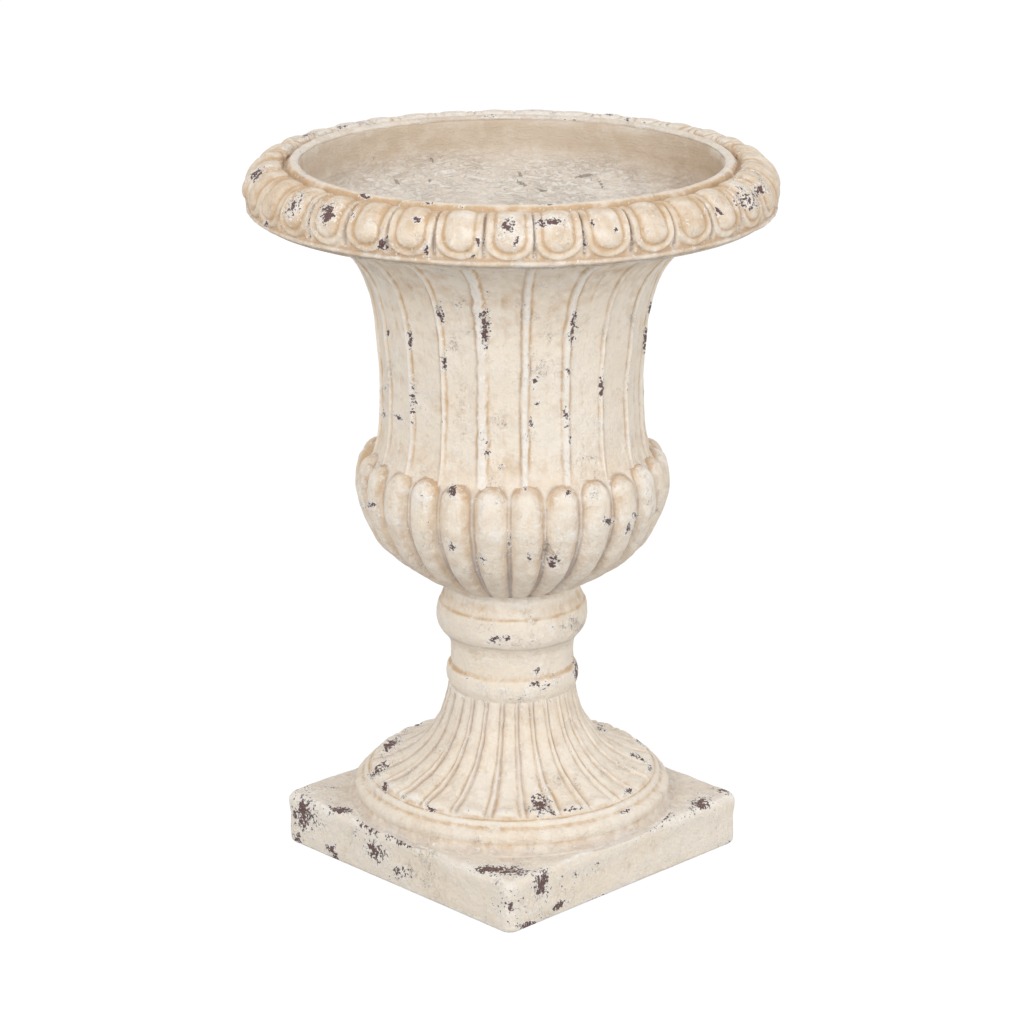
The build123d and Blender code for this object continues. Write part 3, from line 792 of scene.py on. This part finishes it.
# Bell: shallow channels between raised ribs, which end in arches under the rim
bell_line = [
    (125.4, 371), (123.4, 377), (121.6, 383), (119.9, 390), (118.6, 399), (117.5, 414), (116.9, 430),
    (116.7, 445), (117.3, 458), (118.4, 470), (119.9, 487), (121.7, 505), (123.4, 514), (125.5, 523),
    (128.4, 532), (131.9, 541), (137.0, 550), (143.2, 558), (151.0, 566), (163.0, 574.2),
    (180.0, 582.2), (200.0, 588.6), (221.0, 593.4),
]
bell_inner_line = [
    (221.0, 593.4), (214, 600), (186, 594), (160, 583), (139, 568), (125, 548), (114, 515),
    (110.5, 470), (110, 430), (110.5, 400), (114.5, 376), (125.4, 371),
]
bell_outline = joined(curve(bell_line, 2.5), curve(bell_inner_line, 12))
bell = Turned("bowl_bell", bell_outline, flute_count, columns=36, turn=flute_turn, crowding=0.6)
bell_length = line_length(bell_line)
outer_side = step(bell_length - bell.run, -1, 1)
base = bell.base_points()
rib_luck = np.random.default_rng(8).normal(size=(flute_count + 1, 3))
nearest_rib, from_rib = bell.nearest_edge()
ragged = clouds(base, 31, (0.5, 9), (0.4, 3.5))
seam_rib = 17
seam = nearest_rib == seam_rib
arch_drop, arch_corner = 27.0, 15.0
rib_half = 2.2 + 0.35 * rib_luck[nearest_rib, 0] + ragged * 0.7 + np.where(seam, 1.9 + ragged * 1.6, 0)
from_rib = np.abs(from_rib + clouds(base, 36, (0.9, 42), (0.4, 14)))
into_arch = bell.run - (bell_length - arch_drop)
from_channel = from_rounded(rib_half - from_rib + arch_corner, into_arch + arch_corner, arch_corner)
rib_height = 2.3 + 0.2 * rib_luck[nearest_rib, 1]
channel_share = np.clip(-from_channel / (bell.pitch / 2), 0, 1)
ribs = rib_height * step(from_channel, -0.9, 1.5) - 0.3 * bump(from_channel, -1.2, 1.2)
relief = ribs - rib_height - 0.9 * (1 - (1 - channel_share) ** 2)
relief = relief * (0.45 + 0.55 * step(bell.run, 8, 30))
bell.push = relief * outer_side
weather(bell, 33, outer_side, lumps=0.4, grain=0.12)
bell.place_points()
# Painted shade: ochre along the sides of the ribs, heavier on one side, and a little under the rim.
rib_side_shade = bump(from_channel, -1.6, 3.0) * (0.35 + 0.65 * (bell.share < 0.5))
under_rim = step(bell.run, bell_length - 60, bell_length - 15)
stain_and_shade(bell, 34, bell_chips, wear_and_light=0.8, ochre_and_shade=0.05 + rib_side_shade * 0.24 + under_rim * 0.06)
at_foot = step(bell.run, 12, 34)
at_rim = step(bell.run, bell_length - 28, bell_length - 2)
# Painted shade under the rim, ochre and lilac, and lilac along one side of each channel; the wash is also
# made darker towards the foot.
bell.wash_and_shading[:, RECESS] = bell.wash_and_shading[:, RECESS] * (0.3 + 0.5 * at_foot) + 0.22 * at_rim + 0.2 * (1 - at_foot)
bell.wash_and_shading[:, SHADE_OR_ROUGH] = at_rim * 0.25 + bump(from_channel, -1.4, 2.2) * (bell.share > 0.5) * 0.3
rib_top = step(from_channel, -0.4, 1.4) * (1 - under_rim)
bell.mark(RAISED, rib_top * 0.75)
bell.mark(CHIPPED, 0.45 * rib_top * step(cloud(bell.points, 30, 35), 0.1, 0.6))
bell.finish(bowl_finish, "bowl", "bowl_paint")


# Belly: gadroons with rounded heads, each edged by a thin raised fillet
belly_line = [
    (52, 264.5), (60, 262.8), (66.5, 262.2), (69.6, 262.8), (76, 266.8), (84, 271.8), (97, 283),
    (107.5, 293), (115.5, 302.5), (121.2, 312), (126, 322), (129.4, 331), (132, 340), (132.4, 350),
    (131.6, 359), (129.5, 368), (126.8, 372), (123.0, 377), (118.5, 381.5), (113, 385.5), (108, 388),
]
belly_inner_line = [
    (108, 388), (107, 384), (113, 376), (121, 362), (121, 345), (112, 318), (92, 293), (70, 276),
    (50, 270), (52, 264.5),
]
belly_outline = joined(curve(belly_line, 1.8), curve(belly_inner_line, 10))
belly = Turned("bowl_belly", belly_outline, gadroon_count, columns=28, turn=gadroon_turn, crowding=0.55)
belly_length = line_length(belly_line)
outer_side = between(belly.run, 8, 16, belly_length - 1, belly_length + 1)
widest, lobe_gap, head_drop = 139.0, 2.2, 17.5
luck = np.random.default_rng(9).normal(size=(gadroon_count, 4))
lobe_pitch = 2 * math.pi / gadroon_count * widest
lobe_half = lobe_pitch / 2 - lobe_gap
base = belly.base_points()
head = belly_length - head_drop + luck[belly.unit, 0] * 1.4
offset = (belly.share - 0.5 + luck[belly.unit, 1] * 0.01) * lobe_pitch
offset = np.abs(offset + clouds(base, 43, (0.8, 30), (0.4, 12)))
lengthwise = np.maximum((belly.run - (head - lobe_half)) * 0.95, 0)
from_lobe = np.hypot(offset, lengthwise) - lobe_half
lobe_stations = (-14.6, -11, -8, -5.5, -3.4, -1.8, -0.7, 0.2, 1.2, 2.2, 3.2, 4.4, 6, 9)
lobe_heights = (7.2, 7.0, 6.4, 5.4, 4.0, 2.3, 0.9, -0.1, 0.1, 0.6, 0.5, 0.1, -0.1, -0.3)
relief = np.interp(from_lobe, lobe_stations, lobe_heights)
depth_share = 0.32 + 0.68 * step(belly.run, 15, 85)
belly.push = relief * depth_share * outer_side * (1 + 0.04 * luck[belly.unit, 2])
weather(belly, 41, outer_side, lumps=0.6, grain=0.2)
belly.place_points()
# Painted shade: ochre on the right side of each lobe and round its head, lilac in the valleys and on the low
# part. The ochre all over is part wash, part painted shade.
valley = bump(from_lobe, 1.5, 3.2)
right_side = 0.4 + 0.6 * (belly.share > 0.5)
shoulder = step(belly.run, head - 26, head - 6) * bump(from_lobe, -3, 6)
ochre_shade = bump(from_lobe, -3.5, 4.5) * 0.35 * right_side + shoulder * 0.35
stain_and_shade(belly, 42, belly_chips, wear_and_light=0.9, ochre_and_shade=0.24 + ochre_shade)
low = 1 - step(belly.run, 50, 130)
belly.wash_and_shading[:, RECESS] *= 1 - 0.7 * step(belly.run, belly_length - 14, belly_length - 4)
belly.wash_and_shading[:, SHADE_OR_ROUGH] = valley * (0.55 + 0.45 * low) + 0.2 * low
belly.finish(bowl_finish, "bowl", "bowl_paint")


# Lining: the inside of the bowl, laid by hand, down to the floor
lining_line = [
    (184.4, 637.2), (183.6, 634), (183.5, 622), (183.4, 610), (181.0, 603.0), (174.5, 596.2),
    (160, 588.4), (143.8, 580.3), (131, 569.5), (121.4, 556.9), (114.2, 542), (109.1, 527.2),
    (105, 506), (102.4, 485.8), (100.6, 460), (99.8, 434.2), (102, 418), (106.5, 396), (111, 374),
    (116.5, 360), (118.4, 343.3), (111, 322), (96.9, 302), (80, 286.8), (64, floor_top),
    (52, floor_top), (40, floor_top),
]
lining_outer_line = [
    (40, floor_top - 3), (56, floor_top - 3.5), (82, 282), (100, 297.5), (115, 319), (122.5, 343),
    (120.5, 362), (115, 377), (110, 398), (105.5, 420), (104, 434), (106.5, 486), (113, 526),
    (125, 554), (146, 576), (176, 591.5), (187, 600), (188.5, 622), (187, 634), (184.4, 637.2),
]
lining_outline = joined(curve(lining_line, 3.1), curve(lining_outer_line, 14))
lining = Turned("bowl_lining", lining_outline, units=40, columns=14)
lining_length = line_length(lining_line)
inner_side = between(lining.run, 3, 12, lining_length - 16, lining_length - 4)
base = lining.base_points()
trowelled = base * np.array((1, 1, 2.5))
rough = 1.4 * cloud(base, 46, 51) + 0.4 * cloud(trowelled, 9, 53) + 0.2 * cloud(base, 5, 54) - 1.0
rough += 1.9 * np.abs(cloud(trowelled, 36, 52)) + 1.1 * np.abs(cloud(trowelled, 17, 59))
ridge_run = lining.run + 5 * cloud(base, 60, 55) + 2.5 * cloud(base, 17, 57)
ridge = 0.8 * bump(ridge_run, 31, 4) * step(cloud(base, 70, 58), -0.6, 0.1)
lining.push = inner_side * (rough * (0.25 + 0.75 * step(ridge_run, 28, 38)) + ridge)
lining.place_points()
stain_and_shade(lining, 56, ())
low_inside = step(ridge_run, 20, 50)
# Painted shade on the inner wall: dark on the right side of the urn as seen from the camera, light on the
# left.
to_the_right = np.clip(sidewards(lining), 0, 1)
to_the_left = np.clip(-sidewards(lining), 0, 1)
lining.wash_and_shading[:, RECESS] = lining.wash_and_shading[:, RECESS] * 0.3 + 0.65 * to_the_right**3 + 0.1 * to_the_left**2
lining_marks = (
    (432, 160, 4, 2, 20), (397, 182, 4, 2, 50), (430, 181, 2, 2, 0), (584, 176, 11, 1.6, -8),
    (601, 184, 7, 1.6, 60), (521, 183, 9, 1.6, 30), (541, 190, 6, 1.6, 20), (372, 158, 6, 1.6, -10),
    (520, 174, 5, 1.6, 60),
)
lining.wash_and_shading[:, CHIPPED] = lining.spots(lining_marks)
lining.wash_and_shading[:, SHADE_OR_ROUGH] = low_inside * inner_side
lining.finish(plaster_finish, "bowl", "bowl_paint")


# Stem: lower ring, plain neck, big torus, groove and collar
stem_line = [
    (50, 152), (55, 154.5), (56.4, 157.2), (57.6, 159.6), (59.0, 163.0), (59.7, 167.4), (59.4, 172.0),
    (58.2, 175.6), (56.6, 177.4), (55.9, 179.4), (55.6, 184), (55.6, 191), (55.9, 197), (56.9, 201.4),
    (58.7, 205), (61.3, 208.2), (64.5, 212), (66.8, 216.4), (67.9, 221.6), (68.0, 227.4), (67.3, 233),
    (66.3, 236.4), (65.2, 237.7), (64.9, 238.9), (63.8, 241.6), (62.3, 245), (61.2, 249), (60.4, 252.4),
    (59.4, 254.1), (59.8, 255.6), (61.4, 257.6), (63.8, 259.0), (65.6, 259.6),
]
recess_floor = pedestal_top - 9
stem_top = [
    (65.6, 259.6), (64.5, pedestal_top), (35.5, pedestal_top), (35.5, pedestal_top - 8.5),
    (38.6, recess_floor),
]
stem_inner = [(38.6, recess_floor), (38.6, 150), (50, 152)]
stem_outline = joined(curve(stem_line, 0.95), curve(stem_top, 6), curve(stem_inner, 12))
stem = Turned("pedestal_stem", stem_outline, units=36, columns=12)
stem_length = line_length(stem_line)
outer_side = between(stem.run, 2, 6, stem_length - 3, stem_length)
weather(stem, 61, outer_side, lumps=0.6, grain=0.17)
stem.place_points()
to_a_side = np.abs(sidewards(stem))
ring_groove, neck_groove, torus_groove = 178, 209.5, 238.2
# Ochre wash in the torus groove; painted shade on the sides of the torus and in the ring groove, heavier at
# the sides.
collar_wash_and_shade = step(stem.height, 226, 244) * (0.05 + 0.45 * to_a_side)
collar_wash_and_shade += 0.5 * bump(stem.height, torus_groove, 2.5)
collar_wash_and_shade = collar_wash_and_shade * (1 - 0.5 * step(stem.height, 246, 254))
collar_wash_and_shade = collar_wash_and_shade + bump(stem.height, ring_groove, 3.5) * (0.2 + 0.6 * to_a_side)
stain_and_shade(stem, 62, stem_chips, ochre_and_shade=collar_wash_and_shade * outer_side)
# Paler paint on the ring, the neck and the collar, more at the front: painted light, which on the collar,
# where the wash is also thinned, offsets the shadow under the belly.
painted_light = bump(stem.height, 195, 16) + bump(stem.height, 168, 10) + 1.6 * bump(stem.height, 254, 9)
stem.wash_and_shading[:, RAISED] += 0.4 * painted_light * (1 - 0.6 * to_a_side) * outer_side
stem.wash_and_shading[:, RECESS] *= 1 - 0.55 * step(stem.height, 246, 253)
# Lilac painted shade in the neck groove.
stem.wash_and_shading[:, SHADE_OR_ROUGH] = bump(stem.height, neck_groove, 2.5) * 0.55 * outer_side
stem.finish(pedestal_finish, "pedestal", "pedestal_paint")


# Foot: a trumpet of shallow lobes between thin fillets, on a bead, a ring and a skirt
trumpet_line = [
    (50, 160), (54.8, 158), (56.6, 150), (59.0, 141), (63.6, 127.3), (70.8, 114), (79.0, 103.2),
    (89.2, 94.2), (102.4, 86.6), (116.5, 80.6), (126.8, 77.4), (129.6, 75.9),
]
moulding_line = [
    (129.6, 75.9), (130.2, 74.9), (131.6, 75.0), (133.4, 74.3), (134.7, 72.6), (135.0, 70.4),
    (136.4, 68.9), (138.8, 67.8), (141.0, 66.4), (142.5, 64.2), (142.9, 61.4), (142.5, 58.8),
    (142.0, 57.0), (142.1, 55.2), (142.9, 53.0), (144.2, 51.2), (146.2, 50.0), (149.0, 49.5),
    (150.5, 48.4), (145, 44),
]
foot_inner = [(145, 44), (126, 40), (112, 34), (95, 62), (56, 92), (39, 150), (50, 160)]
foot_outline = joined(curve(trumpet_line, 1.6), curve(moulding_line, 1.0), curve(foot_inner, 14))
foot = Turned("pedestal_foot", foot_outline, lobe_count, columns=27, turn=lobe_turn, crowding=0.5)
trumpet_length = line_length(trumpet_line)
foot_end = trumpet_length + line_length(moulding_line)
outer_side = between(foot.run, 3, 8, foot_end - 4, foot_end)
on_trumpet = 1 - step(foot.run, trumpet_length - 3.2, trumpet_length - 0.6)
luck = np.random.default_rng(13).normal(size=(lobe_count, 3))
grow = 0.45 + 0.55 * step(foot.radius, 56, 110)
base = foot.base_points()
nearest_fillet, from_fillet = foot.nearest_edge()
fillet_half = (1.9 + 0.3 * luck[nearest_fillet, 0]) * grow + 0.35 * cloud(base, 12, 71)
wander = 0.8 * luck[nearest_fillet, 1] + clouds(base, 74, (0.9, 26), (0.4, 9))
from_fillet = from_fillet + wander * grow
right_of_fillet = from_fillet > 0
from_fillet = np.abs(from_fillet) - fillet_half
lobe_share = np.clip(from_fillet / (foot.pitch / 2 - fillet_half), 0, 1)
lobe_rise = 1 - (1 - lobe_share) ** 2.2
relief = 2.1 * step(-from_fillet, -1.7, 1.5) + 1.8 * lobe_rise * grow
relief -= 0.9 * bump(from_fillet, 1.9 * grow, 2.4 * grow)
lobe_ends = bump(foot.run, trumpet_length - 7, 9) * (1.3 * lobe_rise + 0.6 * cloud(base, 8, 76))
foot.push = (relief + lobe_ends) * on_trumpet * outer_side
weather(foot, 72, outer_side, lumps=0.55, grain=0.22)
points = foot.pushed_points()
skirt_reach = plinth_half_side - 1.2
points[:, :2] = np.clip(points[:, :2], -skirt_reach, skirt_reach)
foot.place_points(points)
groove_wash = bump(foot.run, trumpet_length + 1, 4) * 0.35
ring_wash = step(foot.run, trumpet_length + 8, trumpet_length + 12) * 0.2
# Ochre beside the fillets, heavier on their right: part wash, part painted shade.
lobe_wash_and_side_shade = on_trumpet * bump(from_fillet, 3, 4.0) * (0.1 + 0.25 * right_of_fillet)
stain_and_shade(foot, 73, foot_chips, wear_and_light=0.8, ochre_and_shade=groove_wash + ring_wash + lobe_wash_and_side_shade)
# Lilac painted shade beside the fillets, heavier on their right, and in the cove under the ring, where the
# wash is thinned.
cove = step(foot.run, foot_end - 21, foot_end - 15) * (1 - step(foot.run, foot_end - 10, foot_end - 2) * 0.6)
foot.wash_and_shading[:, RECESS] = foot.wash_and_shading[:, RECESS] * (1 - 0.5 * cove) * (1 - 0.35 * on_trumpet) + 0.08 * on_trumpet
foot.wash_and_shading[:, SHADE_OR_ROUGH] = on_trumpet * bump(from_fillet, 0.6, 2.2) * (0.25 + 0.4 * right_of_fillet) + 0.45 * cove
foot.finish(pedestal_finish, "pedestal", "pedestal_paint")


# Plinth: a square slab with worn edges and rounded corners, hollow below
def squared(form, side, corner_radius, amount):
    """The plan of a ring whose rounds turn into a rounded square, by this amount at each point."""
    direction = np.stack((np.cos(form.angle), np.sin(form.angle)), axis=1)
    reach = np.abs(direction)
    flat = side / reach.max(axis=1)
    inner = side - corner_radius
    blocked = flat[:, None] * reach
    in_corner = blocked.min(axis=1) > inner
    along = reach.sum(axis=1) * inner
    inside = along**2 - (2 * inner**2 - corner_radius**2)
    rounded = along + np.sqrt(np.maximum(inside, 0))
    edge = np.where(in_corner, rounded, flat)
    return direction * (form.radius * (1 + amount * (edge / side - 1)))[:, None]


half = plinth_half_side
ring_radius, ring_foot = 112, 30.4
plinth_outer = [
    (ring_radius, ring_foot), (ring_radius, 40), (ring_radius, 48.6), (124, 49.1), (134, 49.2),
    (half - 6, 49.3), (half - 2.8, 49.0), (half - 1.1, 47.9), (half - 0.4, 45.9), (half - 0.4, 25),
    (half - 0.4, 6), (half - 0.8, 2.2), (half - 2.2, 0.5), (half - 4, 0.0),
]
plinth_under = [
    (half - 4, 0.0), (half - 17, 0.0), (half - 18.6, 1.0), (half - 19, 3), (half - 19, 29),
    (half - 22, ring_foot), (ring_radius, ring_foot),
]
plinth_corner = 9.0
octant_count = 8
plinth_outline = joined(curve(plinth_outer, 1.35), curve(plinth_under, 6))
plinth = Turned("pedestal_plinth", plinth_outline, octant_count, columns=96)

# The columns are spread evenly along the straight sides, from the middle of each side to its ends
octant_turn = 2 * math.pi / octant_count
octant = np.floor(plinth.angle / octant_turn + 1e-9)
through = plinth.angle / octant_turn - octant
from_corner = 1 - np.arctan(1 - through) / octant_turn
even = np.where(octant % 2 == 1, from_corner, np.arctan(through) / octant_turn)
plinth.angle = (octant + even) * octant_turn

base = plinth.base_points()
plan = squared(plinth, half, plinth_corner, step(plinth.radius, ring_radius, half - 18))
flat_direction = plan / np.linalg.norm(plan, axis=1)[:, None]
uneven = clouds(np.column_stack((plan, plinth.height)), 82, (0.5, 40), (0.35, 14), (0.2, 5), (0.12, 2.2))
edge_luck = cloud(base, 30, 81) + 0.7 * cloud(base, 9, 87)
at_edge = bump(plinth.height, 48.5, 5) * step(plinth.radius, half - 8, half - 3)
worn_edge = np.clip(at_edge * (0.7 + 0.9 * edge_luck), 0, 2)
radial, upward = plinth.outward.T
spread = (uneven - 0.5) * radial - worn_edge
lift = uneven * upward * step(plinth.height, 0.5, 3) - 0.4 * worn_edge
plinth.place_points(np.column_stack((plan + flat_direction * spread[:, None], plinth.height + lift)))
stain_and_shade(plinth, 86, plinth_chips, wear_and_light=1.2)
flaked = plinth.spots(plinth_flakes)
plinth.wash_and_shading[:, RAISED] += flaked * 0.2
plinth.mark(CHIPPED, flaked * 0.5)
# Lilac painted shade on the top of the plinth near the foot.
plinth.wash_and_shading[:, SHADE_OR_ROUGH] = step(plinth.height, 47, 48.5) * (1 - step(plinth.radius, 150, 185)) * 0.3
plinth.finish(pedestal_finish, "pedestal", "pedestal_paint")


# Floor of the bowl and web of the pedestal, with their bolt and drain holes
def drain_cutter(turn, low, high):
    """A round bar through a disc, where one drain hole goes."""
    shape = bmesh.new()
    radius, depth = drain_hole * MM, (high - low) * MM
    bmesh.ops.create_cone(shape, cap_ends=True, segments=32, radius1=radius, radius2=radius, depth=depth)
    across, beside = drain_circle * math.cos(turn), drain_circle * math.sin(turn)
    middle = np.array((across, beside, (low + high) / 2)) * MM
    bmesh.ops.translate(shape, verts=shape.verts, vec=middle)
    return new_object("drain_cutter", new_mesh("drain_cutter", shape))


def holed_disc(name, outline, material, node, slot):
    """A disc with a bolt hole and a ring of drain holes."""
    disc = Turned(name, outline, units=24, columns=6)
    disc.push = 0.25 * cloud(disc.base_points(), 9, 91) * step(disc.radius, 8, 12)
    disc.place_points()
    stain_and_shade(disc, 92, (), wear_and_light=0.4)
    piece = disc.finish(material, node, slot)
    overrun = 3
    heights = [height for _, height in outline]
    for number in range(drain_count):
        turn = 2 * math.pi * number / drain_count
        cutter = drain_cutter(turn, min(heights) - overrun, max(heights) + overrun)
        cut = piece.modifiers.new("drain", "BOOLEAN")
        cut.operation = "DIFFERENCE"
        cut.solver = "EXACT"
        cut.object = cutter
        bpy.context.view_layer.update()
        shown = piece.evaluated_get(bpy.context.evaluated_depsgraph_get())
        whole_mesh, piece.data = piece.data, bpy.data.meshes.new_from_object(shown)
        piece.data.name = name
        piece.modifiers.clear()
        cutter_mesh = cutter.data
        bpy.data.objects.remove(cutter)
        for mesh in (whole_mesh, cutter_mesh):
            bpy.data.meshes.remove(mesh)


rebate, floor_reach = 34, 48
edge_foot = floor_top - 1.5
floor_outline = joined(
    curve([(bolt_hole, spigot_bottom), (rebate - 1, spigot_bottom)], 3),
    curve([(rebate, spigot_bottom + 1), (rebate, joint_height)], 3),
    curve([(rebate, joint_height), (floor_reach, joint_height + 1), (floor_reach, edge_foot)], 4),
    curve([(floor_reach, edge_foot), (floor_reach - 1, floor_top), (bolt_hole, floor_top)], 2.5),
    curve([(bolt_hole, floor_top), (bolt_hole, spigot_bottom)], 4),
)
holed_disc("bowl_floor", floor_outline, plaster_finish, "bowl", "bowl_paint")
web_top = spigot_bottom - 1.5
web_reach = 40
web_outline = joined(
    curve([(bolt_hole, web_bottom), (web_reach, web_bottom)], 3),
    curve([(web_reach, web_bottom), (web_reach, web_top)], 4),
    curve([(web_reach, web_top), (bolt_hole, web_top)], 3),
    curve([(bolt_hole, web_top), (bolt_hole, web_bottom)], 4),
)
holed_disc("pedestal_web", web_outline, casting_finish, "pedestal", "pedestal_paint")


# Bedding compound between the bowl and the pedestal
bedding_hole = 35.5
bead_middle = half_width_of("bedding_ring") - 1.4
bead_rise = (joint_height - bedding_low) / 2
bedding_outline = joined(
    curve([(bedding_hole, bedding_low), (bead_middle, bedding_low)], 4),
    arc((bead_middle, bedding_low + bead_rise), (1.2, bead_rise), -90, 90, 6),
    curve([(bead_middle, joint_height), (bedding_hole, joint_height)], 4),
)
bedding = Turned("bedding_bead", bedding_outline, units=36, columns=8)
pressed_out = step(bedding.radius, bead_middle + 0.1, bead_middle + 0.8)
bedding.push = pressed_out * 0.2 * cloud(bedding.base_points(), 7, 95)
bedding.place_points()
bedding.finish(bedding_finish, "bedding_ring", "bedding")


# Threaded rod, nuts, washers and seal
def threaded_rod():
    """The tie rod with its thread cut all along it."""
    low, high = node_heights("tie_rod")
    pitch, crest, root = 1.75, 5.95, 4.95
    side = curve([(crest, low + 1), (crest, high - 1)], 0.29)
    outline = joined([(0.6, low), (crest - 1, low)], side, [(crest - 1, high), (0.6, high)])
    rod = Turned("threaded_tie_rod", outline, units=12, columns=2)
    phase = (rod.height / pitch - rod.angle / (2 * math.pi)) % 1
    tooth = np.clip(1 - np.abs(phase * 2 - 1) * 1.25 + 0.1, 0, 1)
    threaded = step(rod.radius, crest - 0.5, crest - 0.1)
    full_depth = between(rod.height, low + 0.8, low + 2, high - 2, high - 0.8)
    rod.push = -(crest - root) * (1 - tooth) * threaded * full_depth
    rod.place_points()
    rod.finish(zinc_finish, "tie_rod", "zinc_steel")


def hexagon_nut(node, name):
    """A hexagon nut with both faces chamfered."""
    low, high = node_heights(node)
    flat, bore, mouth = 9.0, 6.15, 7.0
    corner_reach = flat / math.cos(math.pi / 6)
    outline = joined(
        [(bore, low + 1), (mouth, low), (flat - 0.4, low)],
        curve([(corner_reach, low + 1.6), (corner_reach, high - 1.6)], 1.0),
        [(flat - 0.4, high), (mouth, high), (bore, high - 1)],
    )
    nut = Turned(name, outline, units=6, columns=16)
    bend = (nut.angle % (math.pi / 3)) - math.pi / 6
    hexagon = flat / np.cos(bend)
    from_face = np.minimum(nut.height - low, high - nut.height)
    cone = flat - 0.3 + from_face * 1.9
    outer = nut.radius > flat
    nut.radius = np.where(outer, np.minimum(hexagon, cone), nut.radius)
    nut.place_points()
    nut.finish(zinc_finish, node, "zinc_steel")


def washer(node, name, hole, material, slot):
    """A round washer or seal with softened edges."""
    low, high = node_heights(node)
    outside = half_width_of(node)
    soft = min(0.5, (high - low) / 5)
    outline = joined(
        curve([(hole, low + soft), (hole + soft, low)], 0.3),
        curve([(hole + soft, low), (outside - soft, low)], 3),
        curve([(outside - soft, low), (outside, low + soft)], 0.3),
        curve([(outside, high - soft), (outside - soft, high)], 0.3),
        curve([(outside - soft, high), (hole + soft, high)], 3),
        curve([(hole + soft, high), (hole, high - soft)], 0.3),
    )
    ring = Turned(name, outline, units=12, columns=8)
    ring.place_points()
    ring.finish(material, node, slot)


def plate_washer():
    """The square plate under the web, turned by 45 degrees."""
    low, high = node_heights("bottom_washer")
    side = half_width_of("bottom_washer") / math.sqrt(2)
    soft, hole = 0.6, 6.5
    outline = joined(
        curve([(hole, low), (side - soft, low)], 2),
        [(side, low + soft), (side, high - soft)],
        curve([(side - soft, high), (hole, high)], 2),
    )
    plate = Turned("square_plate_washer", outline, units=8, columns=8)
    plan = squared(plate, side, 1.5, step(plate.radius, 7, side - 1))
    x, y = plan.T / math.sqrt(2)
    plate.place_points(np.column_stack((x - y, x + y, plate.height)))
    plate.finish(zinc_finish, "bottom_washer", "zinc_steel")


threaded_rod()
hexagon_nut("top_nut", "upper_hexagon_nut")
hexagon_nut("bottom_nut", "lower_hexagon_nut")
washer("top_washer", "steel_washer", 6.5, zinc_finish, "zinc_steel")
washer("top_seal", "rubber_seal", 6.15, rubber_finish, "rubber")
plate_washer()


# Floor, light and camera


def studio_floor():
    """A plain white floor that keeps the urn's shadow."""
    shape = bmesh.new()
    bmesh.ops.create_grid(shape, x_segments=1, y_segments=1, size=12)
    floor = new_object("studio_floor", new_mesh("studio_floor", shape))
    tree = Tree(bpy.data.materials.new("studio_white"))
    tree.nodes.remove(tree.nodes["Principled BSDF"])
    grey = tree.node("ShaderNodeBsdfDiffuse", {}, {"Color": (0.55, 0.55, 0.55, 1)})
    glow = tree.node("ShaderNodeEmission", {}, {"Strength": 1.14})
    blend = tree.node("ShaderNodeMixShader", {}, {0: tree.looked_at() * 0.85, 1: grey, 2: glow})
    tree.feed(tree.nodes["Material Output"].inputs["Surface"], blend)
    floor.data.materials.append(tree.owner)


def world_light(strength):
    """Even light from all round, which the camera sees as white."""
    world = bpy.data.worlds.new("studio_world")
    bpy.context.scene.world = world
    tree = Tree(world)
    background = tree.nodes["Background"]
    tree.feed(background.inputs["Color"], (1, 1, 1, 1))
    tree.feed(background.inputs["Strength"], tree.looked_at() * (1 - strength) + strength)


def soft_lamp(name, azimuth, distance, height, side, power):
    """A large square lamp that faces the urn."""
    lamp = bpy.data.lights.new(name, "AREA")
    lamp.size = side
    lamp.energy = power
    turn = math.radians(azimuth)
    fall = math.atan2(height - lamp_aim, distance)
    lamp_object = new_object(name, lamp)
    lamp_object.location = (distance * math.sin(turn), -distance * math.cos(turn), height)
    lamp_object.rotation_euler = (math.pi / 2 - fall, 0, turn)


def picture_camera():
    """The camera of the photograph."""
    camera = bpy.data.cameras.new("picture_camera")
    camera.sensor_width = sensor_width
    camera.lens = focal_pixels / picture_side * sensor_width
    camera_object = new_object("picture_camera", camera)
    camera_object.location = camera_axes()[0] * MM
    camera_object.rotation_euler = (math.radians(90 - camera_pitch), 0, math.radians(camera_azimuth))
    bpy.context.scene.camera = camera_object


# Lamps: azimuth in degrees, lengths in metres and power in watts. They aim at this height.
lamp_aim = 0.35
studio_floor()
world_light(0.8)
soft_lamp("key_lamp", azimuth=camera_azimuth - 24, distance=2.6, height=1.7, side=1.2, power=29)
soft_lamp("fill_lamp", azimuth=camera_azimuth + 50, distance=2.8, height=1.1, side=1.3, power=20)
picture_camera()
bpy.context.scene.view_settings.view_transform = "Standard"
